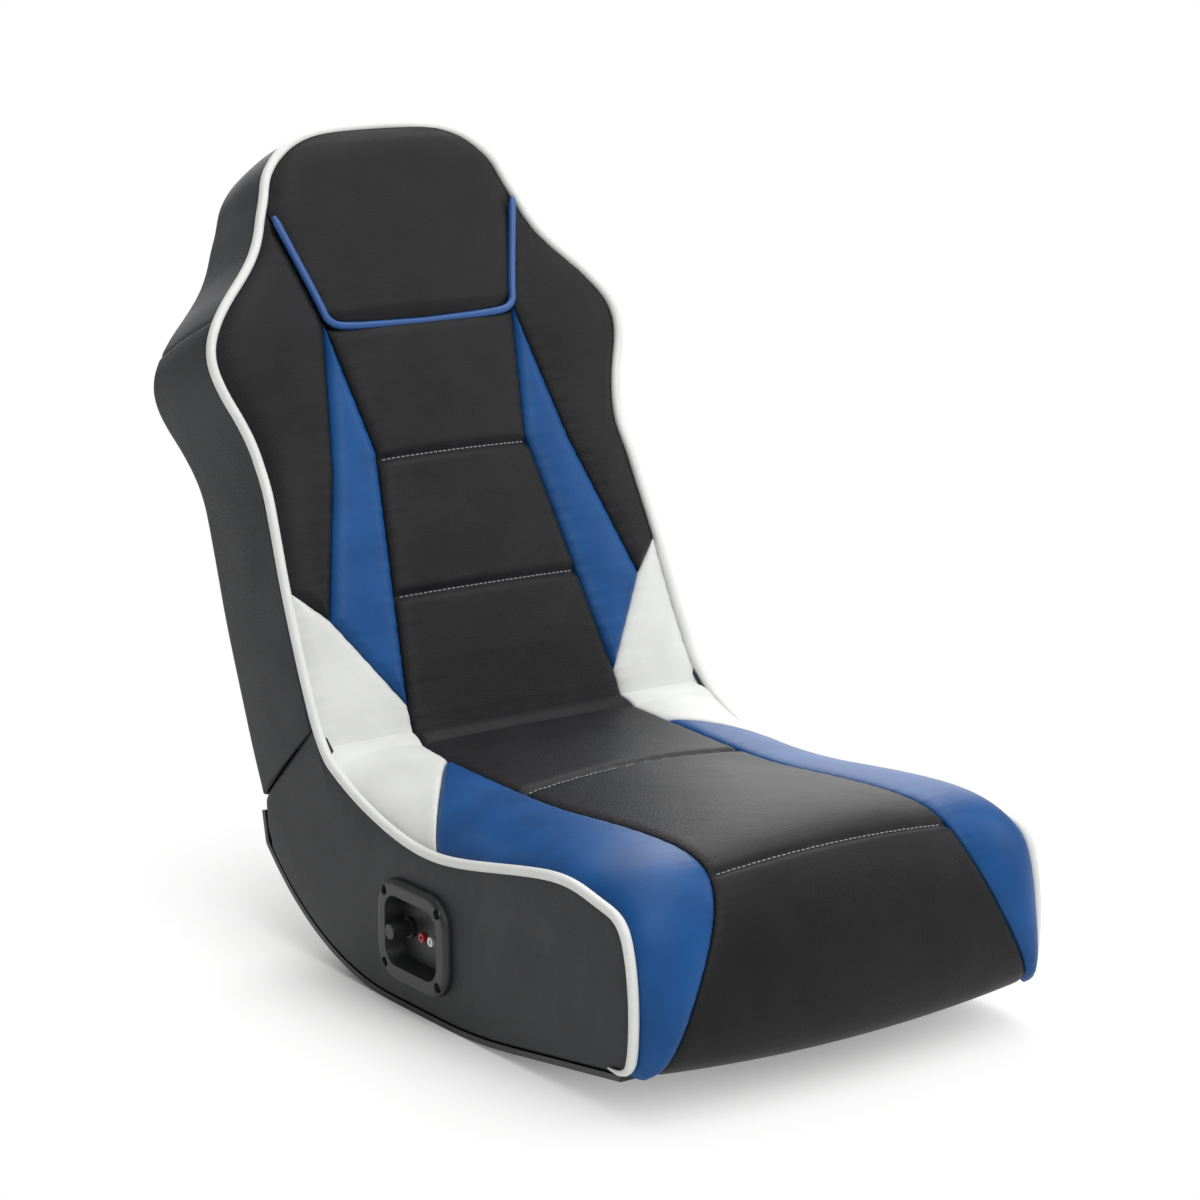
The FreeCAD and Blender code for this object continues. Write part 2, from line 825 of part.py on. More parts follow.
def stacked(levels):
    """A solid through outlines laid one above the other, as (height, corners)."""
    wires = []
    for height, corners in levels:
        wire = wire_of(rounded(corners))
        wire.translate(Vector(0, 0, height))
        wires.append(wire)
    return Part.makeLoft(wires, True, True)


def pillow(corners, rim, crown, draws):
    """A pad with upright sides that draw in towards a raised middle."""
    gap = size("clearance") / 2
    levels = [(-size("pad_depth"), gap), (rim, gap), (rim + crown * 0.6, draws[0]),
              (rim + crown, draws[1])]
    return stacked([(height, inset(corners, draw)) for height, draw in levels])


def envelope(rim, crown):
    """The room inside the side skins, drawn in towards the white piping."""
    side = size("skin") + size("hip_half") - size("seat_half") + 2 * size("clearance")
    levels = [(-size("pad_depth"), side), (rim, side), (rim + crown * 0.6, side + 2),
              (rim + crown, side + 9)]
    return stacked([(height, footed(inset(back_outline(), gap), -20)) for height, gap in levels])


def headrest_line():
    """The blue piping under the headrest, from edge to edge."""
    half, edge = size("headrest_half"), size("headrest_edge")
    low, up = size("headrest_low"), size("headrest_edge_up")
    return [(-edge, up, 0), (-half, low, 22), (0, low - 3, 500), (half, low, 22), (edge, up, 0)]


def headrest_piping_tube():
    path = path_of(headrest_line())
    path.translate(Vector(0, 0, -11))
    return tube(path, size("thin_piping_dia") / 2)


def make_back_pads():
    rim = 1 - size("piping_depth")
    room = envelope(rim, 8)
    cutters = [fold_relief("back"), back_piping_tube(), headrest_piping_tube()]

    def finish(name, pad):
        pad = pad.common(room)
        for cutter in cutters:
            pad = pad.cut(cutter)
        formed(name, "back", pad)

    for panel, corners in half_panels().items():
        for side, sign in (("left", 1), ("right", -1)):
            shape = corners if sign > 0 else mirrored(corners)
            finish("back_%s_pad_%s" % (panel, side), pillow(shape, rim, 7, (4, 12)))

    hip, waist = size("hip_seam_half"), size("waist_seam_half")
    edge = [(hip + 2, size("pad_gap"), 0), (hip, size("hip_seam_up"), 0),
            (waist, size("waist_seam_up"), 0),
            (size("headrest_half") + 2, size("headrest_low") - 4, 0)]
    centre = pillow(edge + mirrored(edge), rim, 8, (5, 16))
    for up in (size("waist_seam_up") - 138, size("waist_seam_up") - 12):
        centre = centre.cut(rod(4, Vector(-150, up, rim + 9.5), 300))
    finish("back_centre_pad", centre)


def make_headrest():
    rim = 4 - size("piping_depth")
    far, top = size("headrest_edge") + 30, size("head_up") + 40
    corners = headrest_line() + [(far, top, 0), (-far, top, 0)]
    pad = pillow(corners, rim, 9, (6, 20)).common(envelope(rim, 9))
    pad = pad.cut(headrest_piping_tube()).cut(back_piping_tube())
    formed("headrest_pad", "back", pad)
    formed("headrest_piping", "back", headrest_piping_tube())


def back_piping_tube():
    """White piping round the backrest, hip to hip over the head."""
    path = path_of(footed(inset(back_outline(), 2), 2))
    path.translate(Vector(0, 0, -size("piping_depth")))
    return tube(path, size("piping_dia") / 2)


def make_back_piping():
    formed("back_piping", "back", back_piping_tube().common(above_gap(1)))


# Fold hinges. Their own axes: x along the pin, y up from the fold plane and z
# forward, so the leaves lie at negative z.

def hinge_leaf(start, own, above, bore):
    """A leaf with every second knuckle, own being 0 or 1."""
    radius = size("knuckle_dia") / 2
    thick, wide, long = size("leaf"), size("leaf_wide"), size("leaf_long")
    low = size("fold_gap") / 2 if above else -size("fold_gap") / 2 - thick
    clear = radius + 2 * size("clearance")
    pitch = wide / 5
    roll = pitch - size("clearance")
    leaf = Part.makeBox(wide, thick, long - clear, Vector(start, low, -long))
    for i in range(own, 5, 2):
        x = start + i * pitch + size("clearance") / 2
        leaf = leaf.fuse(Part.makeBox(roll, thick, clear + 1, Vector(x, low, -clear - 1)))
        leaf = leaf.fuse(rod(radius, Vector(x, 0, 0), roll))
    leaf = leaf.cut(rod(bore, Vector(start - 1, 0, 0), wide + 2))
    for x in (0.2, 0.8):
        for z in (0.62, 0.88):
            spot = Vector(start + x * wide, low - 1, -z * long)
            leaf = leaf.cut(rod(2.1, spot, thick + 2, Vector(0, 1, 0)))
    return leaf.removeSplitter()


def make_hinges():
    y, z = fold_point(0, size("axis_depth"))
    to_seat = Placement(Vector(0, y, z), Rotation(Vector(1, 0, 0), 90 - size("back_tilt")))
    to_back = Placement(Vector(0, 0, -size("axis_depth")), Rotation())
    radius = size("pin_dia") / 2

    def one(side, sign):
        wide = size("leaf_wide")
        start = size("hinge_out") if sign > 0 else -size("hinge_out") - wide
        seat_leaf = hinge_leaf(start, 0, False, radius)
        back_leaf = hinge_leaf(start, 1, True, radius + size("pin_play"))
        pin = rod(radius, Vector(start, 0, 0), wide)
        formed("hinge_seat_leaf_" + side, "seat", seat_leaf.transformed(to_seat.toMatrix()))
        formed("hinge_pin_" + side, "seat", pin.transformed(to_seat.toMatrix()))
        formed("hinge_back_leaf_" + side, "back", back_leaf.transformed(to_back.toMatrix()))

    both_sides(one)


# Speakers

def make_speakers():
    """A shallow full-range driver in each hole of the back board."""
    outer = size("speaker_dia") / 2
    face = -size("pad_depth") - size("back_ply")

    def one(side, sign):
        spot = Vector(sign * size("speaker_out"), size("speaker_up"), 0)

        def spin(points):
            wire = Part.makePolygon([Vector(r, 0, z + face) for r, z in points + points[:1]])
            turned = Part.Face(wire).revolve(Vector(0, 0, 0), Vector(0, 0, 1), 360)
            turned.translate(spot)
            return turned if turned.Volume > 0 else turned.reversed()

        formed("speaker_basket_" + side, "back", spin([
            (outer - 4, 0), (outer + 5, 0), (outer + 5, -1.5), (outer - 1.5, -1.5),
            (18, -21), (18, -23), (10, -23), (10, -21), (15.5, -21), (outer - 4, -2)]))
        formed("speaker_cone_" + side, "back", spin([
            (0, -9), (7, -12), (outer - 5, -0.5), (outer - 4.2, -0.5),
            (outer - 4.2, -1.6), (outer - 5.5, -1.9), (8, -14), (0, -11)]))
        formed("speaker_magnet_" + side, "back", spin([
            (0, -23), (20, -23), (20, -33), (0, -33)]))

    both_sides(one)


# Control panel

def panel_middle():
    return -size("panel_ahead"), -size("panel_below")


def panel_corners(gap=0.0):
    """The panel's rounded square in the y-z plane, counter-clockwise."""
    half_long, half_tall = size("panel_long") / 2, size("panel_tall") / 2
    y, z = panel_middle()
    signs = ((-1, -1), (1, -1), (1, 1), (-1, 1))
    corners = [(y + a * half_long, z + b * half_tall, size("panel_round")) for a, b in signs]
    return inset(corners, gap)


def panel_front():
    """How far out the rim's face stands."""
    return -size("seat_half") - size("panel_proud")


def dish_floor():
    return panel_front() + size("dish_deep")


def control_spots():
    """The knob and the two jacks on the dish floor, as (y, z)."""
    y, z = panel_middle()
    return {
        "knob": (y + 25, z),
        "red": (y + 5, z - 3.5),
        "white": (y + 5 - size("jack_pitch"), z - 3.5),
    }


def screw_spots():
    y, z = panel_middle()
    out, up = size("panel_long") / 2 - 13, size("panel_tall") / 2 - 13
    return [(y + a * out, z + b * up) for a in (1, -1) for b in (1, -1)]


def make_control_housing():
    """The moulding: a rounded rim, a dish, screw pockets and control holes."""
    face = -size("seat_half")
    front = panel_front()
    floor = dish_floor()
    rim = side_prism(rounded(panel_corners()), front, face)
    lip = [edge for edge in rim.Edges if abs(edge.CenterOfMass.x - front) < 0.01]
    rim = rim.makeFillet(size("panel_proud") * 0.6, lip)
    behind_rim = rounded(panel_corners(size("panel_rim")))
    shell = rim.fuse(side_prism(behind_rim, face, floor + size("dish_wall")))
    mouth = [(14, front - 0.1), (18, floor)]
    wires = [to_side(wire_of(rounded(panel_corners(gap))), x) for gap, x in mouth]
    shell = shell.cut(Part.makeLoft(wires, True, True))
    for y, z in screw_spots():
        shell = shell.cut(rod(4.5, Vector(front, y, z), size("panel_proud") - 3))
        shell = shell.cut(rod(size("screw_dia") / 2 + size("clearance") / 3,
                              Vector(front, y, z), 30))
    radius = {"knob": size("shaft_dia") / 2 + 0.6, "red": size("jack_dia") / 2,
              "white": size("jack_dia") / 2}
    for name, (y, z) in control_spots().items():
        shell = shell.cut(rod(radius[name], Vector(floor - 4, y, z), 12))
    formed("control_housing", "seat", shell.removeSplitter())


def make_panel_screws():
    """Four screws, heads sunk in the housing's pockets, held by the plywood."""
    seat = -size("seat_half") - 3
    screws = []
    for y, z in screw_spots():
        head = rod(3.6, Vector(seat - 2.2, y, z), 2.2)
        shank = rod(size("screw_dia") / 2, Vector(seat - 1, y, z), 19)
        screws.append(head.fuse(shank).removeSplitter())
    formed("panel_screws", "seat", Part.makeCompound(screws))


def make_knob():
    """The volume knob, a skirt and a ribbed grip, and the control behind it."""
    y, z = control_spots()["knob"]
    floor = dish_floor()
    long = size("knob_long")
    tip = floor - long
    grip = rod(size("knob_dia") / 2, Vector(tip, y, z), long - 3)
    rim = [edge for edge in grip.Edges if abs(edge.CenterOfMass.x - tip) < 0.01]
    grip = grip.makeFillet(1.2, rim)
    ribs = 14
    reach = size("knob_dia") / 2 + 0.4
    for i in range(ribs):
        turn = 2 * math.pi * i / ribs
        spot = Vector(tip - 1, y + reach * math.cos(turn), z + reach * math.sin(turn))
        grip = grip.cut(rod(0.9, spot, long - 3))
    skirt = rod(size("knob_skirt") / 2, Vector(floor - 3.5, y, z), 3)
    bore = size("shaft_dia") / 2 + size("pin_play")
    knob = skirt.fuse(grip).removeSplitter().cut(rod(bore, Vector(floor - 12, y, z), 12))
    formed("volume_knob", "seat", knob)
    back = floor + size("dish_wall")
    case = rod(8, Vector(back, y, z), amplifier_face() - back)
    shaft = rod(size("shaft_dia") / 2, Vector(floor - 11.5, y, z), back - floor + 12)
    formed("volume_potentiometer", "seat", case.fuse(shaft).removeSplitter())


def amplifier_face():
    """Where the controls' rear ends meet the amplifier board."""
    return dish_floor() + 11


def make_jacks():
    """Two line-in sockets, each a ringed barrel with a blind bore."""
    for name in ("red", "white"):
        y, z = control_spots()[name]
        mouth = Vector(dish_floor() - 3, y, z)
        barrel = rod(size("jack_dia") / 2, mouth, amplifier_face() - mouth.x)
        formed("line_jack_" + name, "seat", barrel.cut(rod(size("jack_bore") / 2, mouth, 9)))


def make_amplifier():
    """The small amplifier board behind the dish, on the controls' ends."""
    face = amplifier_face()
    y, z = panel_middle()
    card = Part.makeBox(1.6, 70, 48, Vector(face, y - 34, z - 24))
    cooler = Part.makeBox(14, 22, 8, Vector(face + 1.6, y - 24, z + 10))
    tins = [rod(5, Vector(face + 1.6, y + away, z - 14), 16) for away in (-20, -6, 8)]
    formed("amplifier_board", "seat", card.fuse([cooler] + tins).removeSplitter())


make_seat_sides()
make_rocker_strips()
make_deck()
make_base_board()
make_seat_rails()
make_seat_pads()
make_seat_piping()
make_back_board()
make_back_rails()
make_back_sides()
make_rear_cover()
make_back_pads()
make_headrest()
make_back_piping()
make_hinges()
make_speakers()
make_control_housing()
make_panel_screws()
make_knob()
make_jacks()
make_amplifier()
doc.recompute()

for thing in doc.Objects:
    if "Invalid" in thing.State or "Error" in thing.State:
        raise RuntimeError("%s was not rebuilt: %s" % (thing.Label, thing.State))
os.makedirs("parts", exist_ok=True)
for piece in PIECES:
    if piece.Shape.isNull() or not piece.Shape.isValid():
        raise RuntimeError("%s has no valid shape" % piece.Label)
    piece.Shape.exportStep("parts/%s.step" % piece.Label)
    print(piece.Label, len(piece.Shape.Solids), round(piece.Shape.Volume / 1000, 1))
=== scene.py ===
# %% [markdown]
# # Gaming rocker chair
# A padded floor rocker in black, white and blue imitation leather. The packed
# CAD model gives the frame, the hinges, the rocker strips and the control
# panel. Its soft solids are replaced here by sewn pads and skins, each a
# surface worked out on a grid, so that seams, rolls and puckers are real shape.

# %% The frame
import json

import bmesh
import bpy
import numpy as np
from mathutils import Matrix, Vector


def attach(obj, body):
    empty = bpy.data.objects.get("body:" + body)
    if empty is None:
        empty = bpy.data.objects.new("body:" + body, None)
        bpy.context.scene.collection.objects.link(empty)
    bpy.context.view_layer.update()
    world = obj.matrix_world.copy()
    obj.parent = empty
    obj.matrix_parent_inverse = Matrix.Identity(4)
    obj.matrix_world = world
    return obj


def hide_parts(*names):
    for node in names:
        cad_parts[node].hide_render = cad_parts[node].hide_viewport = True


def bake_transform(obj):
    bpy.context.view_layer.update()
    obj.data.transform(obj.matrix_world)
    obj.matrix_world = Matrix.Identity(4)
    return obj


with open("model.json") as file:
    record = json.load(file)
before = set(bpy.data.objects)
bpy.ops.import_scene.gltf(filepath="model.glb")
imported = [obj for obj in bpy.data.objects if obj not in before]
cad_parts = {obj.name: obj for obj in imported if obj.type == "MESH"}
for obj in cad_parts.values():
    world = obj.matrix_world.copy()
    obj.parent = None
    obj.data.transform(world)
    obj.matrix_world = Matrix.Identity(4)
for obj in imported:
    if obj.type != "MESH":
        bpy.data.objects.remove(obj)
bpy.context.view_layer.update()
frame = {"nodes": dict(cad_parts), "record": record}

# %% [markdown]
# Two sets of axes make the shapes easy to write, both from the crease between
# seat and back. On the seat: x, y to the rear, z up. On the backrest: x, the
# height s along it, and the depth t behind its front. All are in millimetres.

# %% Places
CREASE_Y, CREASE_Z = 63.8, 197.0
TILT = np.radians(25)


def on_seat(x, y, z):
    """Seat axes to metres: the crease's place is added, then the unit changed."""
    x, y, z = np.broadcast_arrays(x, y, z)
    return np.stack([x, y + CREASE_Y, z + CREASE_Z], -1) * 0.001


def on_back(x, s, t):
    """Backrest axes to metres: s and t are turned by the back's lean."""
    y = s * np.sin(TILT) + t * np.cos(TILT)
    z = s * np.cos(TILT) - t * np.sin(TILT)
    return on_seat(x, y, z)


# %% [markdown]
# A smooth outline needs few numbers: given points, joined by straight runs and
# then smoothed by a moving average. Edges of a sewn pad fall in a quarter
# circle, which is what foam does under a seam.

# %% Lines and rolls
def smooth_run(points, count=600, passes=3, width=21):
    """Straight runs between the points, then a moving average along them with
    the ends held, which rounds each corner."""
    points = np.array(points, float)
    at = np.linspace(0, len(points) - 1, count)
    steps = np.arange(len(points))
    line = np.stack([np.interp(at, steps, column) for column in points.T], -1)
    kernel = np.ones(width) / width
    half = width // 2
    for _ in range(passes):
        head = 2 * line[0] - line[half:0:-1]
        tail = 2 * line[-1] - line[-2:-half - 2:-1]
        long = np.concatenate([head, line, tail])
        line = np.stack([np.convolve(column, kernel, "valid") for column in long.T], -1)
    return line


def along(line, v):
    """The point at fraction v of a line's samples, for arrays of v."""
    at = np.clip(v, 0, 1) * (len(line) - 1)
    steps = np.arange(len(line))
    return [np.interp(at, steps, column) for column in line.T]


def roll(distance, width):
    """A quarter circle: 0 at the seam, 1 from one width inside it."""
    near = 1 - np.clip(distance / width, 0, 1)
    return np.sqrt(np.clip(1 - near ** 2, 0, 1))


def pucker(place, distance, pitch=17.0, reach=11.0, depth=0.28):
    """Small folds that a seam draws in: two sines along it, dying away from it."""
    turns = 2 * np.pi * place / pitch
    wave = np.sin(turns) + 0.6 * np.sin(2 * np.pi * place / (pitch * 0.61) + 1.3)
    return depth * wave * np.exp(-distance / reach)


def gather(x):
    """How a sewn channel deepens and eases across its length, every 19 mm."""
    return 1 + 0.06 * np.sin(2 * np.pi * x / 19)


def normal_of(line):
    """The left-hand normal of each sample of a plane line."""
    run = np.gradient(line, axis=0)
    run /= np.linalg.norm(run, axis=1, keepdims=True)
    return np.stack([-run[:, 1], run[:, 0]], -1)


# %% [markdown]
# Every surface is a grid of points. A pad is two grids, its face and its back,
# closed along their borders, so each piece is one watertight shell.

# %% Meshes
def quads(rows, cols, first=0):
    """Corner numbers of the faces between neighbours of a grid."""
    n = first + np.arange(rows * cols).reshape(rows, cols)
    return np.stack([n[:-1, :-1], n[:-1, 1:], n[1:, 1:], n[1:, :-1]], -1).reshape(-1, 4)


def build(name, vertices, faces, material):
    """A mesh object from arrays, its doubles merged and its normals outwards."""
    mesh = bpy.data.meshes.new(name)
    mesh.from_pydata(vertices.reshape(-1, 3).tolist(), [], faces.tolist())
    shell = bmesh.new()
    shell.from_mesh(mesh)
    bmesh.ops.remove_doubles(shell, verts=shell.verts, dist=2e-5)
    bmesh.ops.dissolve_degenerate(shell, edges=shell.edges, dist=1e-6)
    bmesh.ops.recalc_face_normals(shell, faces=shell.faces)
    shell.to_mesh(mesh)
    shell.free()
    mesh.polygons.foreach_set("use_smooth", np.ones(len(mesh.polygons), bool))
    mesh.materials.append(material)
    piece = bpy.data.objects.new(name, mesh)
    bpy.context.collection.objects.link(piece)
    print(name, len(mesh.polygons), "faces")
    return piece


def shell_of(name, face, back, material, hole=None, fan=False):
    """A closed shell between two grids of the same size. A hole leaves out the
    faces whose middles it marks. A fan's rows go round a point, so only its last
    row has a wall."""
    rows, cols = face.shape[:2]
    count = rows * cols
    front, rear = quads(rows, cols), quads(rows, cols, count)[:, ::-1]
    if hole is not None:
        flat = face.reshape(-1, 3)
        keep = ~hole(flat[front].mean(1))
        front, rear = front[keep], rear[keep]
    n = np.arange(count).reshape(rows, cols)
    borders = [n[-1][::-1]] if fan else [n[0], n[-1][::-1], n[::-1, 0], n[:, -1]]
    walls = [np.stack([rim[:-1], rim[:-1] + count, rim[1:] + count, rim[1:]], -1)
             for rim in borders]
    faces = np.concatenate([front, rear] + walls)
    points = np.concatenate([face.reshape(-1, 3), back.reshape(-1, 3)])
    return build(name, points, faces, material)


def cord_mesh(name, path, radius, material, tips=(1.0, 1.0)):
    """A round section carried along a path, by Blender's own curve bevel, which
    keeps it from twisting; the ends may taper."""
    curve = bpy.data.curves.new(name, "CURVE")
    curve.dimensions = "3D"
    curve.bevel_depth = radius
    curve.bevel_resolution = 4
    curve.use_fill_caps = True
    spline = curve.splines.new("POLY")
    spline.points.add(len(path) - 1)
    spline.points.foreach_set("co", np.column_stack([path, np.ones(len(path))]).ravel())
    share = np.linspace(0, 1, len(path))
    thick = np.interp(share, [0, 0.035, 0.965, 1], [tips[0], 1, 1, tips[1]])
    spline.points.foreach_set("radius", thick)
    guide = bpy.data.objects.new(name + "_guide", curve)
    bpy.context.collection.objects.link(guide)
    bpy.context.view_layer.update()
    graph = bpy.context.evaluated_depsgraph_get()
    mesh = bpy.data.meshes.new_from_object(guide.evaluated_get(graph))
    bpy.data.objects.remove(guide)
    mesh.name = name
    mesh.polygons.foreach_set("use_smooth", np.ones(len(mesh.polygons), bool))
    mesh.materials.clear()
    mesh.materials.append(material)
    piece = bpy.data.objects.new(name, mesh)
    bpy.context.collection.objects.link(piece)
    return piece


# %% [markdown]
# The cover is PVC-coated cloth, sold as imitation leather: a smooth film with
# an embossed grain of small pebbles. The grain is a Voronoi pattern at its real
# pitch, with a softer noise that stands for the foam's unevenness beneath.

# %% Materials
def linear(code):
    """An sRGB hex colour as linear light."""
    value = np.array([int(code[i:i + 2], 16) for i in (1, 3, 5)]) / 255
    low = value <= 0.04045
    return [*np.where(low, value / 12.92, ((value + 0.055) / 1.055) ** 2.4), 1.0]


def add(tree, kind, settings=None, **links):
    """Adds a node: settings go to its properties or, by name, to its sockets;
    links join an output to the socket named, with _ for a space."""
    node = tree.nodes.new(kind)
    for key, value in (settings or {}).items():
        if isinstance(key, str) and hasattr(node, key):
            setattr(node, key, value)
        else:
            node.inputs[key].default_value = value
    for key, output in links.items():
        socket = int(key[1:]) if key[1:].isdigit() else key.replace("_", " ")
        tree.links.new(output, node.inputs[socket])
    return node


def blank(name):
    """A new material with all its nodes cleared, and its tree."""
    material = bpy.data.materials.new(name)
    material.use_nodes = True
    material.node_tree.nodes.clear()
    return material, material.node_tree


def pattern(tree, kind, pitch_mm, settings=None):
    """A texture on the piece's own coordinates, one cell to each pitch."""
    place = add(tree, "ShaderNodeTexCoord")
    scale = {"Scale": 1000 / pitch_mm, **(settings or {})}
    return add(tree, kind, scale, Vector=place.outputs["Object"])


def embossed_leather(name, dark, light, rough, grain_mm=1.6, grain=0.45, sheen=0.2):
    """PVC-coated cloth: the pebbles of the embossing, finer specks between them,
    and slow swells of the foam, whose dips are painted darker as painted shade."""
    material, tree = blank(name)
    pebble = pattern(tree, "ShaderNodeTexVoronoi", grain_mm,
                     {"feature": "SMOOTH_F1", "Smoothness": 0.7})
    speck = pattern(tree, "ShaderNodeTexNoise", grain_mm * 0.5, {"Detail": 3.0})
    swell = pattern(tree, "ShaderNodeTexNoise", 45.0, {"Detail": 2.0, "Roughness": 0.4})
    # painted shade: the colour darkens where the foam's swells dip
    painted_swell_shade = add(tree, "ShaderNodeMapRange", {"From Min": 0.3, "From Max": 0.7},
               Value=swell.outputs["Fac"])
    shade = add(tree, "ShaderNodeMix", {"data_type": "RGBA", 6: linear(dark), 7: linear(light)},
                _0=painted_swell_shade.outputs["Result"])
    bumpy = add(tree, "ShaderNodeBump", {"Strength": grain, "Distance": 0.0006},
                Height=pebble.outputs["Distance"])
    specked = add(tree, "ShaderNodeBump", {"Strength": grain * 0.6, "Distance": 0.0003},
                  Height=speck.outputs["Fac"], Normal=bumpy.outputs["Normal"])
    soft = add(tree, "ShaderNodeBump", {"Strength": 0.35, "Distance": 0.004},
               Height=swell.outputs["Fac"], Normal=specked.outputs["Normal"])
    gloss = add(tree, "ShaderNodeMapRange", {"To Min": rough - 0.05, "To Max": rough + 0.07},
                Value=speck.outputs["Fac"])
    film = add(tree, "ShaderNodeBsdfPrincipled", {"IOR": 1.5, "Specular IOR Level": sheen},
               Base_Color=shade.outputs[2], Roughness=gloss.outputs["Result"],
               Normal=soft.outputs["Normal"])
    add(tree, "ShaderNodeOutputMaterial", Surface=film.outputs[0])
    return material


def moulded(name, dark, light, rough, pitch_mm=0.9, strength=0.2):
    """Moulded or pressed stock: a spark-eroded texture, a fine even noise."""
    material, tree = blank(name)
    grit = pattern(tree, "ShaderNodeTexNoise", pitch_mm, {"Detail": 4.0})
    wear = pattern(tree, "ShaderNodeTexNoise", 30.0, {"Detail": 3.0})
    shade = add(tree, "ShaderNodeMix", {"data_type": "RGBA", 6: linear(dark), 7: linear(light)},
                _0=wear.outputs["Fac"])
    bumpy = add(tree, "ShaderNodeBump", {"Strength": strength, "Distance": 0.0003},
                Height=grit.outputs["Fac"])
    body = add(tree, "ShaderNodeBsdfPrincipled", {"IOR": 1.5, "Roughness": rough},
               Base_Color=shade.outputs[2], Normal=bumpy.outputs["Normal"])
    add(tree, "ShaderNodeOutputMaterial", Surface=body.outputs[0])
    return material


def metal(name, dark, light, rough):
    """Plated or raw steel, with a fine streaked wear in its roughness."""
    material, tree = blank(name)
    wear = pattern(tree, "ShaderNodeTexNoise", 4.0, {"Detail": 5.0})
    shade = add(tree, "ShaderNodeMix", {"data_type": "RGBA", 6: linear(dark), 7: linear(light)},
                _0=wear.outputs["Fac"])
    gloss = add(tree, "ShaderNodeMapRange", {"To Min": rough - 0.08, "To Max": rough + 0.12},
                Value=wear.outputs["Fac"])
    body = add(tree, "ShaderNodeBsdfPrincipled", {"Metallic": 1.0},
               Base_Color=shade.outputs[2], Roughness=gloss.outputs["Result"])
    add(tree, "ShaderNodeOutputMaterial", Surface=body.outputs[0])
    return material


def timber(name, dark, light, grain_mm):
    """Plywood or hardboard: a wave of growth lines, bent by noise."""
    material, tree = blank(name)
    lines = pattern(tree, "ShaderNodeTexWave", grain_mm * 20,
                    {"Distortion": 9.0, "Detail": 4.0, "Detail Scale": 2.0})
    shade = add(tree, "ShaderNodeMix", {"data_type": "RGBA", 6: linear(dark), 7: linear(light)},
                _0=lines.outputs["Fac"])
    body = add(tree, "ShaderNodeBsdfPrincipled", {"Roughness": 0.75}, Base_Color=shade.outputs[2])
    add(tree, "ShaderNodeOutputMaterial", Surface=body.outputs[0])
    return material


black_hide = embossed_leather("black_pvc_leather", "#161618", "#1c1c1e", 0.5)
# Painted light: the side skins are the same black leather as the front, given a lighter colour for
# the light that falls on the sides.
side_hide_painted_light = embossed_leather("black_pvc_leather_sides_painted_light", "#303133", "#363739", 0.5)
# The head's cover is a finer, slightly lighter leather of its own; part of its lighter colour is a
# painted sheen from above and behind.
head_hide_painted_sheen = embossed_leather("black_pvc_leather_head_painted_sheen", "#393a3d", "#424346", 0.5, 1.1)
white_hide = embossed_leather("white_pvc_leather", "#cfd0cc", "#d9dad6", 0.46, 1.4, 0.16)
blue_hide = embossed_leather("blue_pvc_leather", "#0f4278", "#154d87", 0.42, 1.4, 0.2)
white_vinyl = moulded("white_vinyl_piping", "#d3d4d1", "#dddedb", 0.4, 1.2, 0.1)
blue_vinyl = moulded("blue_vinyl_piping", "#1f4a86", "#285593", 0.36, 1.2, 0.1)
grey_thread = moulded("grey_polyester_thread", "#a3a6a8", "#b6b9ba", 0.6, 0.6, 0.4)
black_abs = moulded("moulded_black_abs", "#1d1e1f", "#242526", 0.42, 0.8, 0.25)
strip_vinyl = moulded("extruded_black_vinyl", "#18191a", "#1e1f20", 0.38, 1.4, 0.12)
rear_cloth = moulded("black_nonwoven_cloth", "#1f2021", "#29292a", 0.9, 0.7, 0.7)
birch = timber("sawn_birch_plywood", "#a98556", "#c9a877", 0.8)
fibre = timber("brown_hardboard", "#5a4230", "#6b5140", 0.4)
zinc = metal("zinc_plated_steel", "#9c9ea2", "#b9bbbf", 0.35)
dull_steel = metal("pressed_dark_steel", "#4a4b4d", "#5b5c5e", 0.45)
paper_cone = moulded("pressed_paper_cone", "#1b1b1c", "#262627", 0.8, 0.9, 0.5)
red_abs = moulded("moulded_red_abs", "#a51f22", "#b92a2b", 0.3)
white_abs = moulded("moulded_white_abs", "#d8d8d2", "#e4e4df", 0.3)
green_board = moulded("green_epoxy_board", "#17502b", "#1f5f35", 0.35)

# %% [markdown]
# The hard parts keep their CAD shape. Each takes the material of its slot, but
# the boards in the open are covered in stapled black cloth.

# %% Finishes of the CAD nodes
SLOT_FINISH = {
    "black_leather": black_hide, "white_leather": white_hide, "blue_leather": blue_hide,
    "white_piping": white_vinyl, "blue_piping": blue_vinyl, "rear_fabric": rear_cloth,
    "plywood": birch, "hardboard": fibre, "edge_plastic": strip_vinyl,
    "black_plastic": black_abs, "hinge_steel": zinc, "speaker_steel": dull_steel,
    "magnet_steel": dull_steel, "cone_plastic": paper_cone, "red_plastic": red_abs,
    "white_plastic": white_abs, "board_plastic": green_board,
}
IN_CLOTH = ("base_board", "seat_rear_board", "back_bottom_rail", "seat_side_frame")
for part in frame["record"]["subparts"]:
    node = frame["nodes"][part["node"]]
    node.data.materials.clear()
    covered = part["node"].startswith(IN_CLOTH)
    node.data.materials.append(rear_cloth if covered else SLOT_FINISH[part["material_slot"]])

# %% [markdown]
# The seat is one long bend: from the crease forward, over the front edge and
# down. Two lines drive it, read from the photograph: the seam between the
# centre pad and the side rolls, and the white piping at the seat's edge. They
# have the same number of points, so a roll is a set of curves between them.

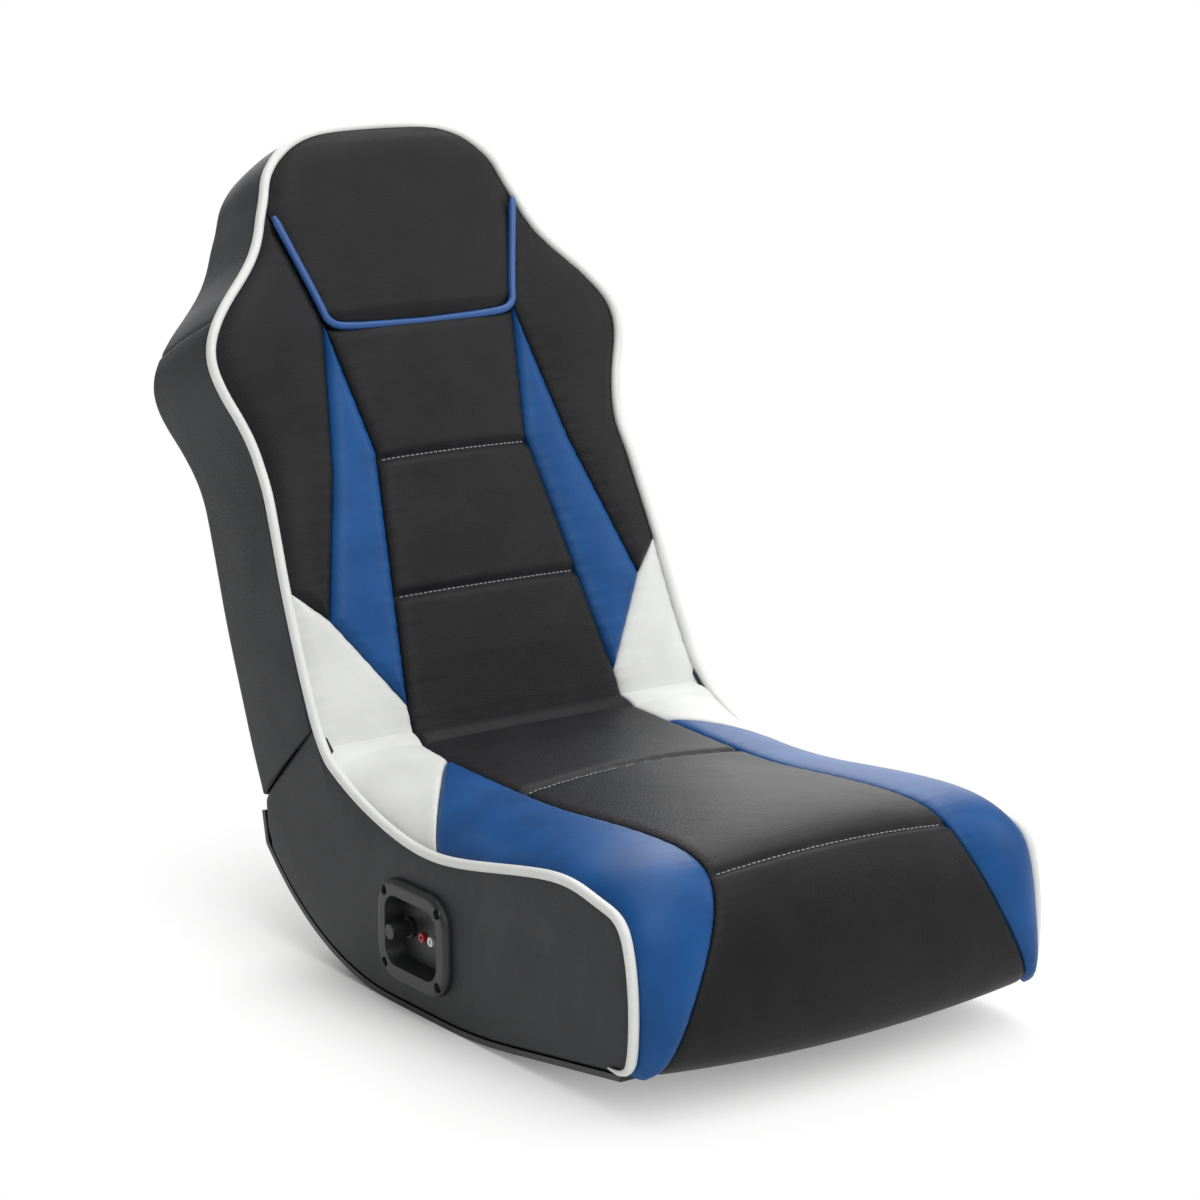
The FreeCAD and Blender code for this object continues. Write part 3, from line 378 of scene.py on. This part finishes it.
# %% The seat's lines
SEAM_LINE = smooth_run([
    (6, -12), (2.5, -3.6), (-7, -3.2), (-40, -6), (-105, -8), (-161, -10), (-225, -10),
    (-282, -4), (-351, 1), (-405, 1), (-435, -9), (-451, -28), (-463, -54),
    (-470, -88), (-474, -124), (-468, -149), (-452, -158)], passes=3, width=31)
PIPING_LINE = smooth_run([
    (12, -14), (6, -4), (-18, -14.5), (-46, -28.5), (-109, -46.5), (-168, -52.6),
    (-236, -41.2), (-290, -30), (-345, -20.5), (-385, -21.5), (-415, -28), (-437, -36), (-447, -58),
    (-451, -90), (-452, -122), (-447, -150), (-434, -159)], passes=3, width=31)
SEAM_HALF = np.array([[112], [113], [115], [117], [117], [116], [116], [117], [118], [119],
                      [121], [127], [139], [156], [174], [186], [190]], float)
SEAM_HALF = smooth_run(SEAM_HALF, passes=3, width=35)
STATIONS = 16
REAR_CHANNEL, FRONT_CHANNEL = 5.05, 10.1
SEAT_RUN = 700
SEAM_SINK = 3.4
EDGE_X = 203.0


def seat_roll(u, v, sign, lift=0.0):
    """A side roll: a quarter ellipse from the inner seam, u 0, to the piping,
    u 1, at the place v along the seat; both edges are drawn in by their seams.
    Close to the crease the outer edge reaches 3 mm further, to the piping."""
    seam_y, seam_z = along(SEAM_LINE, v)
    edge_y, edge_z = along(PIPING_LINE, v)
    (inner,) = along(SEAM_HALF, v)
    inward_y, inward_z = along(normal_of(SEAM_LINE), v)
    outer = EDGE_X + np.interp(v * STATIONS, [0, 2, 4], [3, 2, 0])
    x = inner + 0.5 + (outer - inner) * u
    fall = 1 - np.sqrt(np.clip(1 - u ** 2, 0, 1))
    gap = (EDGE_X - inner) * u
    sink = SEAM_SINK * (1 - roll(gap, 10)) - pucker(v * SEAT_RUN, gap, depth=0.15)
    sink = sink - 3.0 * np.sin(np.pi * np.clip(u, 0, 1)) + lift
    y = seam_y + (edge_y - seam_y) * fall + inward_y * sink
    z = seam_z + (edge_z - seam_z) * fall + inward_z * sink
    return on_seat(sign * x, y, z)


def seat_middle(u, v, lift=0.0):
    """The centre pad: a low arch between its seams, with two sewn channels."""
    seam_y, seam_z = along(SEAM_LINE, v)
    inward_y, inward_z = along(normal_of(SEAM_LINE), v)
    (half,) = along(SEAM_HALF, v)
    side = half * (1 - np.abs(2 * u - 1))
    station = v * STATIONS
    channel = (3.6 * np.exp(-((station - REAR_CHANNEL) / 0.09) ** 2)
               + 2.8 * np.exp(-((station - FRONT_CHANNEL) / 0.14) ** 2))
    across = half * (2 * u - 1)
    channel = channel * gather(across)
    arch = 10.0 * (1 - (2 * u - 1) ** 2) * np.clip((station - 1) / 5, 0, 1)
    drawn = SEAM_SINK * (1 - roll(side, 10))
    sink = drawn - arch + channel - pucker(v * SEAT_RUN, side, depth=0.15) + lift
    return on_seat(across, seam_y + inward_y * sink, seam_z + inward_z * sink)


# %% [markdown]
# Each pad is filled between its face and a second grid 22 mm beneath. The white
# hip panel and the blue one share a roll; the seam between them runs on a slant.

# %% The seat's pads
DEEP = 22.0


def spread(rows, cols, low=0.0, high=1.0):
    """A grid of u across and v along, closer together near both edges of u."""
    even = np.linspace(0, 1, cols)
    u = 0.5 - 0.5 * np.cos(np.pi * even)
    u = 0.6 * u + 0.4 * even
    return np.meshgrid(u, np.linspace(low, high, rows))


def finish_pad(piece, body, slot, *nodes, fill=0.8):
    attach(piece, body)
    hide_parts(*nodes)


u, v = spread(380, 130)
seat_pad = shell_of("seat_pad_centre", seat_middle(u, v), seat_middle(u, v, DEEP), black_hide)
finish_pad(seat_pad, "seat", "black_leather", "seat_centre_pad")

for side, sign in (("left", 1), ("right", -1)):
    u, w = spread(150, 70)
    split = (3.1 + 1.85 * u) / STATIONS
    seamed = 3.0 * (1 - roll((1 - w) * split * SEAT_RUN, 9))
    face = seat_roll(u, split * w, sign, seamed)
    white = shell_of("seat_hip_" + side, face, seat_roll(u, split * w, sign, DEEP), white_hide)
    finish_pad(white, "seat", "white_leather", "seat_white_pad_" + side)
    u, w = spread(320, 70)
    run = split[0] + (1 - split[0]) * w + 0.0012
    seamed = 3.0 * (1 - roll(w * (1 - split[0]) * SEAT_RUN, 9))
    face = seat_roll(u, run, sign, seamed)
    blue = shell_of("seat_bolster_" + side, face, seat_roll(u, run, sign, DEEP), blue_hide)
    finish_pad(blue, "seat", "blue_leather", "seat_blue_pad_" + side)

# %% [markdown]
# The backrest's outline is the outer edge of its white piping. Its panels meet
# at seams sunk about 12 mm behind the crowns, and each panel is a patch between
# two edges that are functions of the height.

# %% The backrest's outline
OUTLINE = [
    (209, -2), (209, 39), (207.7, 75), (206.2, 129), (204.5, 165), (201.7, 202), (199.4, 240),
    (198.6, 258), (199.8, 277), (204, 296), (210.2, 315), (217.5, 333), (222.7, 351),
    (223.5, 368), (218.6, 385), (207.8, 402), (192.4, 420), (174.6, 437), (158.8, 455),
    (148.5, 473), (142, 491), (134, 508), (128, 528), (113, 546), (93, 560), (68, 568),
    (35, 571), (0, 571.5)]
HALF_LINE = smooth_run(OUTLINE, 500, 2, 15)
HALF_LINE[-1, 0] = 0


def half_width(s):
    """Half the backrest's width inside its piping at the height s."""
    return np.interp(s, HALF_LINE[:, 1], HALF_LINE[:, 0]) - np.interp(s, [15, 45], [3.0, 7.0])


def rear_depth(s):
    """Depth of the backrest's rear plane, which comes forward behind the head."""
    return np.interp(s, [0, 400, 420, 571], [137.5, 137.5, 134.8, 99.0])


def edge_of(*corners):
    """A panel's edge: x as a function of the height s, by straight runs."""
    x, s = np.array(corners, float).T
    return lambda height: np.interp(height, s, x)


HIP, WING, WAIST, APEX, HEAD = (112, 31), (167, 117), (81, 262), (102, 386), (131, 492)
CREASE_END = (113, 0)
HIP_TOP = 152
INNER = edge_of(CREASE_END, HIP, WAIST, APEX)
BLUE_OUTER = edge_of(HIP, WING, (128, 250), APEX)
WHITE_INNER = edge_of(CREASE_END, HIP, WING, (201, HIP_TOP))
BLACK_INNER = edge_of(WING, (128, 250), APEX, HEAD)


def black_outer(s):
    """The black panel's outer edge: the white panel's top seam, then the piping."""
    return np.where(s < HIP_TOP, WHITE_INNER(s), half_width(s))


def headrest_half(s):
    """Half the headrest's width: rounded lower corners, then its slanting sides,
    then the outline of the head."""
    corner = 24 * (1 - roll(s - 377, 24))
    slant = np.interp(s, [377, APEX[1], HEAD[1]], [99, APEX[0], HEAD[0]])
    return np.minimum(slant - corner, half_width(s) + 0.5)


def piping_depth(s):
    """Depth of the white piping's middle, which sits deeper at the waist."""
    return np.interp(s, [0, 40, 80, 235, 265, 325, 385, 470, 571],
                     [12, 14, 16, 16, 20, 20, 14, 13, 10.5])


SEAM_DEPTH = 12.0


def seam_depth(x, s):
    """Depth of the seams: even inside, and at the outline 2 mm behind the piping."""
    share = np.clip(np.abs(x) / half_width(s), 0, 1) ** 6
    return SEAM_DEPTH + (piping_depth(s) + 2.0 - SEAM_DEPTH) * share


def back_patch(u, s, left, right, crown, low=None, high=None, rim=14.0, lift=0.0):
    """A panel's face: it rises from all its edges in quarter circles to a crown,
    and is puckered along them. A pad that starts at the crease rises there in a
    tighter curve, and its fullness grows over the first 70 mm."""
    at_crease = low is not None and low < 2
    a, b = left(s), right(s)
    x = a + (b - a) * u
    reach = np.minimum(np.abs(x - a), np.abs(b - x))
    rise = roll(reach, rim)
    if low is not None:
        rise = rise * roll(s - low, 4.5 if at_crease else rim)
        reach = np.minimum(reach, s - low)
    if high is not None:
        rise = rise * roll(high - s, 34.0 if high > 500 else rim)
        reach = np.minimum(reach, high - s)
    rise = rise * roll(half_width(s) + 0.5 - np.abs(x), 36)
    full = np.clip((b - a) / 120, 0.35, 1) * crown * 0.45 * 4 * u * (1 - u)
    if at_crease:
        full = full * np.clip((s - low) / 70, 0, 1)
    rise = crown * 0.55 * rise + full * rise
    t = seam_depth(x, s) - rise - pucker(s, np.abs(reach)) + lift
    return x, s, t


LOW_CHANNEL, HIGH_CHANNEL = 128.0, 254.0


def back_channel(s):
    """Two stitched channels across the centre pad."""
    return 4.2 * (np.exp(-((s - LOW_CHANNEL) / 4.5) ** 2)
                  + np.exp(-((s - HIGH_CHANNEL) / 4.5) ** 2))


# %% [markdown]
# The centre pad carries two stitched channels. The blue panels are slim darts,
# and the black ones wrap the shoulders. The headrest stands proudest.

# %% The backrest's pads
BOTTOM = -2.5
CENTRE_TOP = 380
CENTRE_CROWN, HIP_CROWN = 12.5, 9.5


def back_pad(name, nodes, material, slot, span, left, right, crown, low=None, high=None,
             channel=None, rows=240, cols=80, rim=14.0):
    """One pad of the backrest: its face, and a back 28 mm behind the front."""
    u, v = spread(rows, cols)
    s = span[0] + (span[1] - span[0]) * v
    x, s, t = back_patch(u, s, left, right, crown, low, high, rim)
    if channel is not None:
        t = t + channel(s) * gather(x)
    pad = shell_of(name, on_back(x, s, t), on_back(x, s, np.maximum(t + 5, 28.0)), material)
    finish_pad(pad, "backrest", slot, *nodes)


def mirrored(edge):
    """The same edge on the other side of the middle."""
    return lambda s: -edge(s)


def edges_on(side, inner, outer):
    """The two edges of a side panel in the order of x."""
    return (inner, outer) if side == "left" else (mirrored(outer), mirrored(inner))


back_pad("back_pad_centre", ["back_centre_pad"], black_hide, "black_leather", (BOTTOM, 379),
         mirrored(INNER), INNER, CENTRE_CROWN, BOTTOM - 0.5, CENTRE_TOP, back_channel, 300, 110)
back_pad("headrest_cushion", ["headrest_pad"], black_hide, "black_leather", (377.5, 564.5),
         mirrored(headrest_half), headrest_half, 15.0, 377, 565, None, 200, 110, 18.0)
for side in ("left", "right"):
    back_pad("back_dart_" + side, ["back_blue_pad_" + side], blue_hide, "blue_leather",
             (HIP[1], APEX[1]), *edges_on(side, INNER, BLUE_OUTER), 11.0, rim=13.0)
    back_pad("back_hip_" + side, ["back_white_pad_" + side], white_hide, "white_leather",
             (BOTTOM, HIP_TOP), *edges_on(side, WHITE_INNER, half_width), HIP_CROWN,
             BOTTOM - 0.5, rim=13.0, rows=120)
    back_pad("back_shoulder_" + side, ["back_outer_pad_" + side], black_hide, "black_leather",
             (WING[1], 500), *edges_on(side, BLACK_INNER, black_outer), 11.0, rim=15.0)

# %% [markdown]
# The leather round the backrest's sides is one long skin that follows the
# outline, turns a rounded corner and ends on the rear. Below the shoulder a
# seam parts it from the head's own cover. At the bottom it stops at a slanting
# gap, where the backrest folds away from the seat.

# %% The skins round the backrest
CORNER = 11.0
FRONT_EDGE, PIPING_INSET = 19, 1.2
FOLD_TOP, FOLD_SLOPE = 31.5, -0.3


def wrap(line, sign, puff, seams):
    """The skin over a stretch of the outline: across it, the depth runs back to
    the rear corner, a quarter circle, and 16 mm of the rear. A seam at the
    stretch's start or end draws the skin in by a quarter circle. At the bottom
    the skin is cut on the slant of the fold's gap, eased in over 80 mm."""
    run = np.r_[0, np.cumsum(np.linalg.norm(np.diff(line, axis=0), axis=1))]
    near = np.minimum(run if seams[0] else 99, run[-1] - run if seams[1] else 99)
    puff = puff + 2.0 * (1 - roll(near, 6.0))[:, None]
    inside = normal_of(line)
    flat = np.linspace(0, 1, 26)
    turn = np.linspace(0, np.pi / 2, 9)[1:]
    rear = np.linspace(0, 16, 5)[1:]
    s = line[:, 1][:, None]
    deep = rear_depth(s)
    depth = np.concatenate([
        FRONT_EDGE + (deep - CORNER - FRONT_EDGE) * flat,
        deep - CORNER + CORNER * np.sin(turn) + 0 * s,
        deep + 0 * s + 0 * rear], axis=1)
    inset = np.concatenate([
        PIPING_INSET - 1.8 * np.sin(np.pi * flat) + 0 * s,
        PIPING_INSET + CORNER * (1 - np.cos(turn)) + 0 * s,
        PIPING_INSET + CORNER + rear + 0 * s], axis=1) + puff
    x = line[:, 0][:, None] + inside[:, 0][:, None] * inset
    up = s + inside[:, 1][:, None] * inset
    up = up + (FOLD_TOP + FOLD_SLOPE * depth) * np.clip(1 - s / 80, 0, 1)
    return on_back(sign * x, up, np.minimum(depth, rear_depth(up)))


def skin_piece(name, line, sign, material, node, seams):
    """A skin 4 mm thick over a stretch of the outline."""
    face, under = wrap(line, sign, 0.0, seams), wrap(line, sign, 4.0, seams)
    skin = shell_of(name, face, under, material)
    finish_pad(skin, "backrest", "black_leather", node, fill=0.9)


SHOULDER_SEAM = 402.0
bend = np.argmax(HALF_LINE[:, 0] * (HALF_LINE[:, 1] > 300))
seam_at = bend + np.argmin(np.abs(HALF_LINE[bend:, 1] - SHOULDER_SEAM))
lower_line = HALF_LINE[np.argmax(HALF_LINE[:, 1] >= 0):seam_at + 1]
# The side skins take the black leather painted lighter for the light on the sides.
for side, sign in (("left", 1), ("right", -1)):
    skin_piece("back_skin_" + side, lower_line, sign, side_hide_painted_light,
               "back_side_cover_" + side, (False, True))
over = HALF_LINE[seam_at:]
head_line = np.concatenate([over, over[-2::-1] * [-1, 1]])
# The head's skin takes the finer leather, whose colour holds a painted sheen from above and behind.
skin_piece("head_skin", head_line, 1, head_hide_painted_sheen, "back_head_cover", (True, True))

u, v = spread(200, 80)
s = 8 + (HALF_LINE[-1, 1] - 16 - 8) * v
half = half_width(s) - 7
x = half * (2 * u - 1)
edge = np.minimum(half - np.abs(x), np.minimum(s - 2, 562 - s))
t = rear_depth(s) + 1.6 * roll(edge, 30) - 0.6
rear = shell_of("back_rear_panel", on_back(x, s, t), on_back(x, s, t - 5), rear_cloth)
finish_pad(rear, "backrest", "rear_fabric", "back_rear_cover", fill=0.7)

# %% [markdown]
# The seat's sides are leather over a thin foam, drawn tight between the piping
# and the rocker strip. Each is a fan of lines from one point out to its edge,
# so that it can swell evenly. On the right, the control panel's place is open.

# %% The seat's sides
def rocker(y):
    """The running line: a slope, an arc, a flat, an arc and a slope again."""
    ahead, behind = -173.0 - y, y + 97.0
    front = np.where(ahead < 104.7, ahead ** 2 / 1400, (ahead - 52.6) * 0.1512)
    back = 291 - np.sqrt(np.clip(291.0 ** 2 - np.clip(behind, 0, 198) ** 2, 0, None))
    back = back + np.clip(behind - 198, 0, None) * 0.93
    return -197 + np.where(ahead > 0, front, 0) + np.where(behind > 0, back, 0)


FAN = np.array([-40.0, -110.0])
base_y = np.linspace(-431, 106, 120)
base = np.column_stack([base_y, rocker(base_y) + 5.2])
TRIM = smooth_run([
    (-424, -157.5), (-442, -156.6), (-450.1, -138.6), (-451.9, -105.4), (-449.2, -73.8),
    (-441.9, -43.5), (-429.3, -30.8), (-407.4, -27.6), (-368.2, -18.6), (-322.5, -23),
    (-235.9, -41.2), (-168, -52.6), (-108.9, -46.5), (-41.7, -27.5), (5.5, -2.8),
    (22, 14), (29.7, 27.8)], 500, 3, 25)
V_FRONT, V_REAR = (33.0, 14.0), (106.0, -56.0)
lip = smooth_run([V_FRONT, V_REAR, (114.5, -68), (112.5, -92), (106, -104)], 60, 1, 5)
rim = np.concatenate([base, lip[::-1], TRIM[-14::-1]])
step = np.r_[0, np.cumsum(np.linalg.norm(np.diff(rim, axis=0), axis=1))]
even = np.linspace(0, step[-1], 420)
rim = np.column_stack([np.interp(even, step, rim[:, 0]), np.interp(even, step, rim[:, 1])])
rim[-1] = rim[0]
PANEL_Y, PANEL_Z, PANEL_LONG, PANEL_TALL = -144.0, -126.0, 108.0, 90.0
PANEL_CORNER = 30


def seat_side(sign, lift=0.0):
    """A fan of lines from one point to the rim, swelled by 3 mm in the middle and
    rolled in over the last 5% before the rim."""
    r = np.linspace(0, 1, 90)[:, None]
    y = FAN[0] + r * (rim[:, 0] - FAN[0])
    z = FAN[1] + r * (rim[:, 1] - FAN[1])
    out = 206.6 + 2.6 * (1 - r ** 4) - 3.5 * (1 - roll(1 - r, 0.05)) - lift
    return on_seat(sign * out + 0 * y, y, z)


def panel_place(middles):
    """Faces whose middles lie 10 mm or more inside the control panel's edge."""
    y = np.abs(middles[:, 1] * 1000 - CREASE_Y - PANEL_Y) - (PANEL_LONG / 2 - PANEL_CORNER)
    z = np.abs(middles[:, 2] * 1000 - CREASE_Z - PANEL_Z) - (PANEL_TALL / 2 - PANEL_CORNER)
    away = np.hypot(np.clip(y, 0, None), np.clip(z, 0, None))
    return away < PANEL_CORNER - 10


# The seat's side skins take the black leather painted lighter for the light on the sides.
for side, sign, hole in (("left", 1, None), ("right", -1, panel_place)):
    piece = shell_of("seat_skin_" + side, seat_side(sign), seat_side(sign, 5.0), side_hide_painted_light,
                     hole, fan=True)
    finish_pad(piece, "seat", "black_leather", "seat_side_cover_" + side, fill=0.9)

# %% [markdown]
# Over the hinges, a strip of the same leather closes the crease. It is sewn to
# the seat on one edge and to the backrest on the other.

# %% The crease
BEND_START = tuple(on_seat(0, -6, -5))
BEND_END = tuple(on_seat(0, 9, 8))


def crease_strip(name, low, high, material):
    """A strip 1.6 mm thick from one row of the seat's face to one row of the
    backrest's, both set 1.5 mm under it; between them it bulges by a half sine."""
    w = np.linspace(0, 1, 12)[:, None, None]
    bulge = np.sin(np.pi * w) * np.array([0, -0.0012, 0.0016])
    top = low * (1 - w) + high * w + bulge
    under = top + np.array([0, 0.0009, -0.0013])
    strip = shell_of(name, top, under, material)
    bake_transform(strip)


u, level = np.linspace(0, 1, 90), np.full(90, 8.0)
bottom = on_back(*back_patch(u, level, mirrored(INNER), INNER, CENTRE_CROWN, BOTTOM - 0.5,
                             CENTRE_TOP, lift=1.5))
crease_strip("crease_strip_centre", seat_middle(u, 2.0 / STATIONS, 1.5), bottom, black_hide)
x, s, t = back_patch(u, level, WHITE_INNER, half_width, HIP_CROWN, BOTTOM - 0.5, rim=13.0,
                     lift=1.5)
for side, sign in (("left", 1), ("right", -1)):
    crease_strip("crease_strip_" + side, seat_roll(u, 2.0 / STATIONS, sign, 1.5),
                 on_back(sign * x, s, t), white_hide)

# %% [markdown]
# White piping is a cord sewn into a vinyl strip. One length runs from under the
# seat's front, along its edge, up the backrest, over the head and down again.

# %% The piping
PIPE = 4.4
PIPE_X = 207.6
FIRST = 12
inner_line = HALF_LINE + normal_of(HALF_LINE) * 4.0
inner_line[:, 0] = np.clip(inner_line[:, 0], 0, None)
inner_line = inner_line[FIRST:]
back_run = on_back(inner_line[:, 0], inner_line[:, 1], piping_depth(inner_line[:, 1]))
seat_path = smooth_run([
    (-417, -158.5), (-432, -159.5), (-446, -153), (-450.5, -138.6), (-451.9, -105.4),
    (-449.2, -73.8), (-441.9, -43.5), (-429.3, -30.8), (-407.4, -27.6), (-368.2, -18.6),
    (-322.5, -23), (-235.9, -41.2), (-168, -52.6), (-108.9, -46.5), (-41.7, -27.5),
    (5.5, -2.8)], 360, 3, 19)
seat_run = on_seat(PIPE_X, seat_path[:, 0], seat_path[:, 1])
half_path = np.concatenate([seat_run, back_run])
half_path = smooth_run(half_path, 900, 2, 7)
whole = np.concatenate([half_path, half_path[-2::-1] * [-1, 1, 1]])
piping = cord_mesh("white_piping", whole, PIPE / 1000, white_vinyl, (0.15, 0.15))
tuple(on_back(0, -6.0, 5.0))
tuple(on_back(0, 30.0, 5.0))
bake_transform(piping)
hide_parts("back_piping", "seat_piping_left", "seat_piping_right")

# %% [markdown]
# The cord is wrapped in a tape that is sewn in beside it. It could be seen only
# at the crease, where the pads are parted, so it is made for 50 mm either way.

# %% The piping's tape
tape_back = (HALF_LINE + normal_of(HALF_LINE) * 12.0)[FIRST:]
tape_run = np.concatenate([
    on_seat(198.5, seat_path[:, 0], seat_path[:, 1]),
    on_back(tape_back[:, 0], tape_back[:, 1], piping_depth(tape_back[:, 1]))])
tape_path = smooth_run(tape_run, 900, 2, 7)
crease_end = on_seat(207.0, 5.5, -2.8)
beside = np.linalg.norm(half_path - crease_end, axis=1) < 0.05
w = np.linspace(0, 1, 6)[None, :, None]
tape = half_path[beside][:, None] * (1 - w) + tape_path[beside][:, None] * w
tape = tape + np.array([0, 0.0012, -0.0016])
for side, sign in (("left", 1), ("right", -1)):
    face = tape * [sign, 1, 1]
    under = face + np.array([0, 0.0008, -0.001])
    piece = shell_of("piping_tape_" + side, face, under, white_vinyl)
    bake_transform(piece)

# %% [markdown]
# A thinner blue cord edges the headrest: down one side, under it and up again.

# %% The headrest's cord
corner = smooth_run([
    (129, 487), (124, 470), (103, 400), (101, 388), (92, 380.5), (70, 378.5), (0, 377)],
    300, 3, 29)
rest_line = np.concatenate([corner, corner[-2::-1] * [-1, 1]])
blue_run = on_back(rest_line[:, 0], rest_line[:, 1], 5.2)
blue_cord = cord_mesh("headrest_blue_piping", blue_run, 0.0036, blue_vinyl, (0.6, 0.6))
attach(blue_cord, "backrest")
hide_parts("headrest_piping")

# %% [markdown]
# The channels are sewn in a light grey thread. Each stitch is a short, low,
# pointed bead that lies in its channel.

# %% Stitches
def stitches(name, path, body, pitch=4.8, length=3.4, radius=0.42):
    """Beads of six sides along a path, one to each pitch: rings of changing
    radius, placed by the path's own direction."""
    run = np.r_[0, np.cumsum(np.linalg.norm(np.diff(path, axis=0), axis=1))] * 1000
    at = np.arange(pitch, run[-1] - pitch, pitch)
    middle, ahead = [np.stack([np.interp(place, run, column) for column in path.T], -1)
                     for place in (at, at + 1)]
    ahead = ahead - middle
    ahead /= np.linalg.norm(ahead, axis=1, keepdims=True)
    side = np.cross(ahead, [0, 0, 1.0])
    side /= np.linalg.norm(side, axis=1, keepdims=True)
    up = np.cross(side, ahead)
    along_bead = np.array([-0.5, -0.42, 0, 0.42, 0.5]) * length / 1000
    girth = np.array([0, 0.8, 1, 0.8, 0]) * radius / 1000
    rings, sides = len(girth), 6
    angle = np.linspace(0, 2 * np.pi, sides, endpoint=False)
    outwards = (side[:, None, None] * np.cos(angle)[None, None, :, None]
                + up[:, None, None] * np.sin(angle)[None, None, :, None])
    points = (middle[:, None, None] + ahead[:, None, None] * along_bead[None, :, None, None]
              + outwards * girth[None, :, None, None])
    ring = np.arange(rings * sides).reshape(rings, sides)
    ring = np.hstack([ring, ring[:, :1]])
    one = np.stack([ring[:-1, :-1], ring[:-1, 1:], ring[1:, 1:], ring[1:, :-1]], -1)
    firsts = rings * sides * np.arange(len(at))[:, None, None]
    faces = (one.reshape(-1, 4)[None] + firsts).reshape(-1, 4)
    piece = build(name, points, faces, grey_thread)
    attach(piece, body)


u = np.linspace(0.015, 0.985, 200)
for row, height in (("low", LOW_CHANNEL), ("high", HIGH_CHANNEL)):
    level = np.full(len(u), height)
    x, s, t = back_patch(u, level, mirrored(INNER), INNER, CENTRE_CROWN, 0.7, CENTRE_TOP)
    t = t + back_channel(s) * gather(x) - 0.3
    stitches("back_stitches_" + row, on_back(x, s, t), "backrest")
for row, station in (("rear", REAR_CHANNEL), ("front", FRONT_CHANNEL)):
    level = np.full(len(u), station / STATIONS)
    stitches("seat_stitches_" + row, seat_middle(u, level, -0.3), "seat")

# %% [markdown]
# A plain studio: a pale floor that turns white further out, a white world for
# the camera, and large soft lamps. The camera stands where the photographer
# did, found from the seams' vanishing lines.

# %% Studio
def studio_floor():
    """A pale diffuse floor, mixed to plain white light far from the chair."""
    material, tree = blank("pale_floor")
    place = add(tree, "ShaderNodeTexCoord")
    far = add(tree, "ShaderNodeVectorMath", {"operation": "LENGTH"}, _0=place.outputs["Object"])
    fade = add(tree, "ShaderNodeMapRange", {"From Min": 0.2, "From Max": 0.6},
               Value=far.outputs["Value"])
    seen = add(tree, "ShaderNodeLightPath")
    both = add(tree, "ShaderNodeMath", {"operation": "MAXIMUM"}, _0=seen.outputs["Is Camera Ray"],
               _1=seen.outputs["Is Glossy Ray"])
    share = add(tree, "ShaderNodeMath", {"operation": "MULTIPLY"}, _0=fade.outputs["Result"],
                _1=both.outputs[0])
    pale = add(tree, "ShaderNodeBsdfDiffuse", {"Color": linear("#fafaf9")})
    white = add(tree, "ShaderNodeEmission", {"Color": (1, 1, 1, 1), "Strength": 1.0})
    mix = add(tree, "ShaderNodeMixShader", _0=share.outputs[0], _1=pale.outputs[0],
              _2=white.outputs[0])
    add(tree, "ShaderNodeOutputMaterial", Surface=mix.outputs[0])
    return material


bpy.ops.mesh.primitive_grid_add(size=16)
floor = bpy.context.object
floor.name = "floor"
floor.data.materials.append(studio_floor())

world = bpy.data.worlds.new("studio")
bpy.context.scene.world = world
world.use_nodes = True
tree = world.node_tree
tree.nodes.clear()
seen = add(tree, "ShaderNodeLightPath")
both = add(tree, "ShaderNodeMath", {"operation": "MAXIMUM"}, _0=seen.outputs["Is Camera Ray"],
           _1=seen.outputs["Is Transmission Ray"])
sky = add(tree, "ShaderNodeBackground", {"Color": (1, 1, 1, 1), "Strength": 0.36})
white = add(tree, "ShaderNodeBackground", {"Color": (1, 1, 1, 1), "Strength": 1.0})
mix = add(tree, "ShaderNodeMixShader", _0=both.outputs[0], _1=sky.outputs[0], _2=white.outputs[0])
add(tree, "ShaderNodeOutputWorld", Surface=mix.outputs[0])


def softbox(name, place, wide, watts):
    """A square lamp that faces the chair."""
    lamp = bpy.data.lights.new(name, "AREA")
    lamp.size = wide
    lamp.energy = watts
    piece = bpy.data.objects.new(name, lamp)
    aim = Vector((0, 0, 0.3)) - Vector(place)
    turn = aim.to_track_quat("-Z", "Y").to_matrix().to_4x4()
    piece.matrix_world = Matrix.Translation(place) @ turn
    bpy.context.collection.objects.link(piece)


softbox("key_lamp", (-0.6, -2.6, 2.4), 2.2, 42)
softbox("fill_lamp", (2.6, -1.2, 1.8), 1.8, 22)
softbox("top_lamp", (0.4, -0.4, 2.8), 2.4, 40)
softbox("sheen_lamp", (1.0, 1.7, 2.3), 2.2, 42)
softbox("rear_lamp", (1.9, 3.0, 1.5), 3.4, 60)

AZIMUTH, ELEVATION = np.radians(-35.363), np.radians(13.1795)
back = Vector((np.sin(AZIMUTH) * np.cos(ELEVATION),
               -np.cos(AZIMUTH) * np.cos(ELEVATION), np.sin(ELEVATION)))
right = Vector((np.cos(AZIMUTH), np.sin(AZIMUTH), 0))
up = back.cross(right)
eye = bpy.data.cameras.new("camera")
eye.lens, eye.sensor_width = 105.0, 36.0
camera = bpy.data.objects.new("camera", eye)
turn = Matrix((right, up, back)).transposed()
place = Vector((-1.704, -2.451, 1.017))
camera.matrix_world = Matrix.Translation(place) @ turn.to_4x4()
bpy.context.collection.objects.link(camera)
bpy.context.scene.camera = camera
bpy.context.scene.view_settings.view_transform = "Standard"
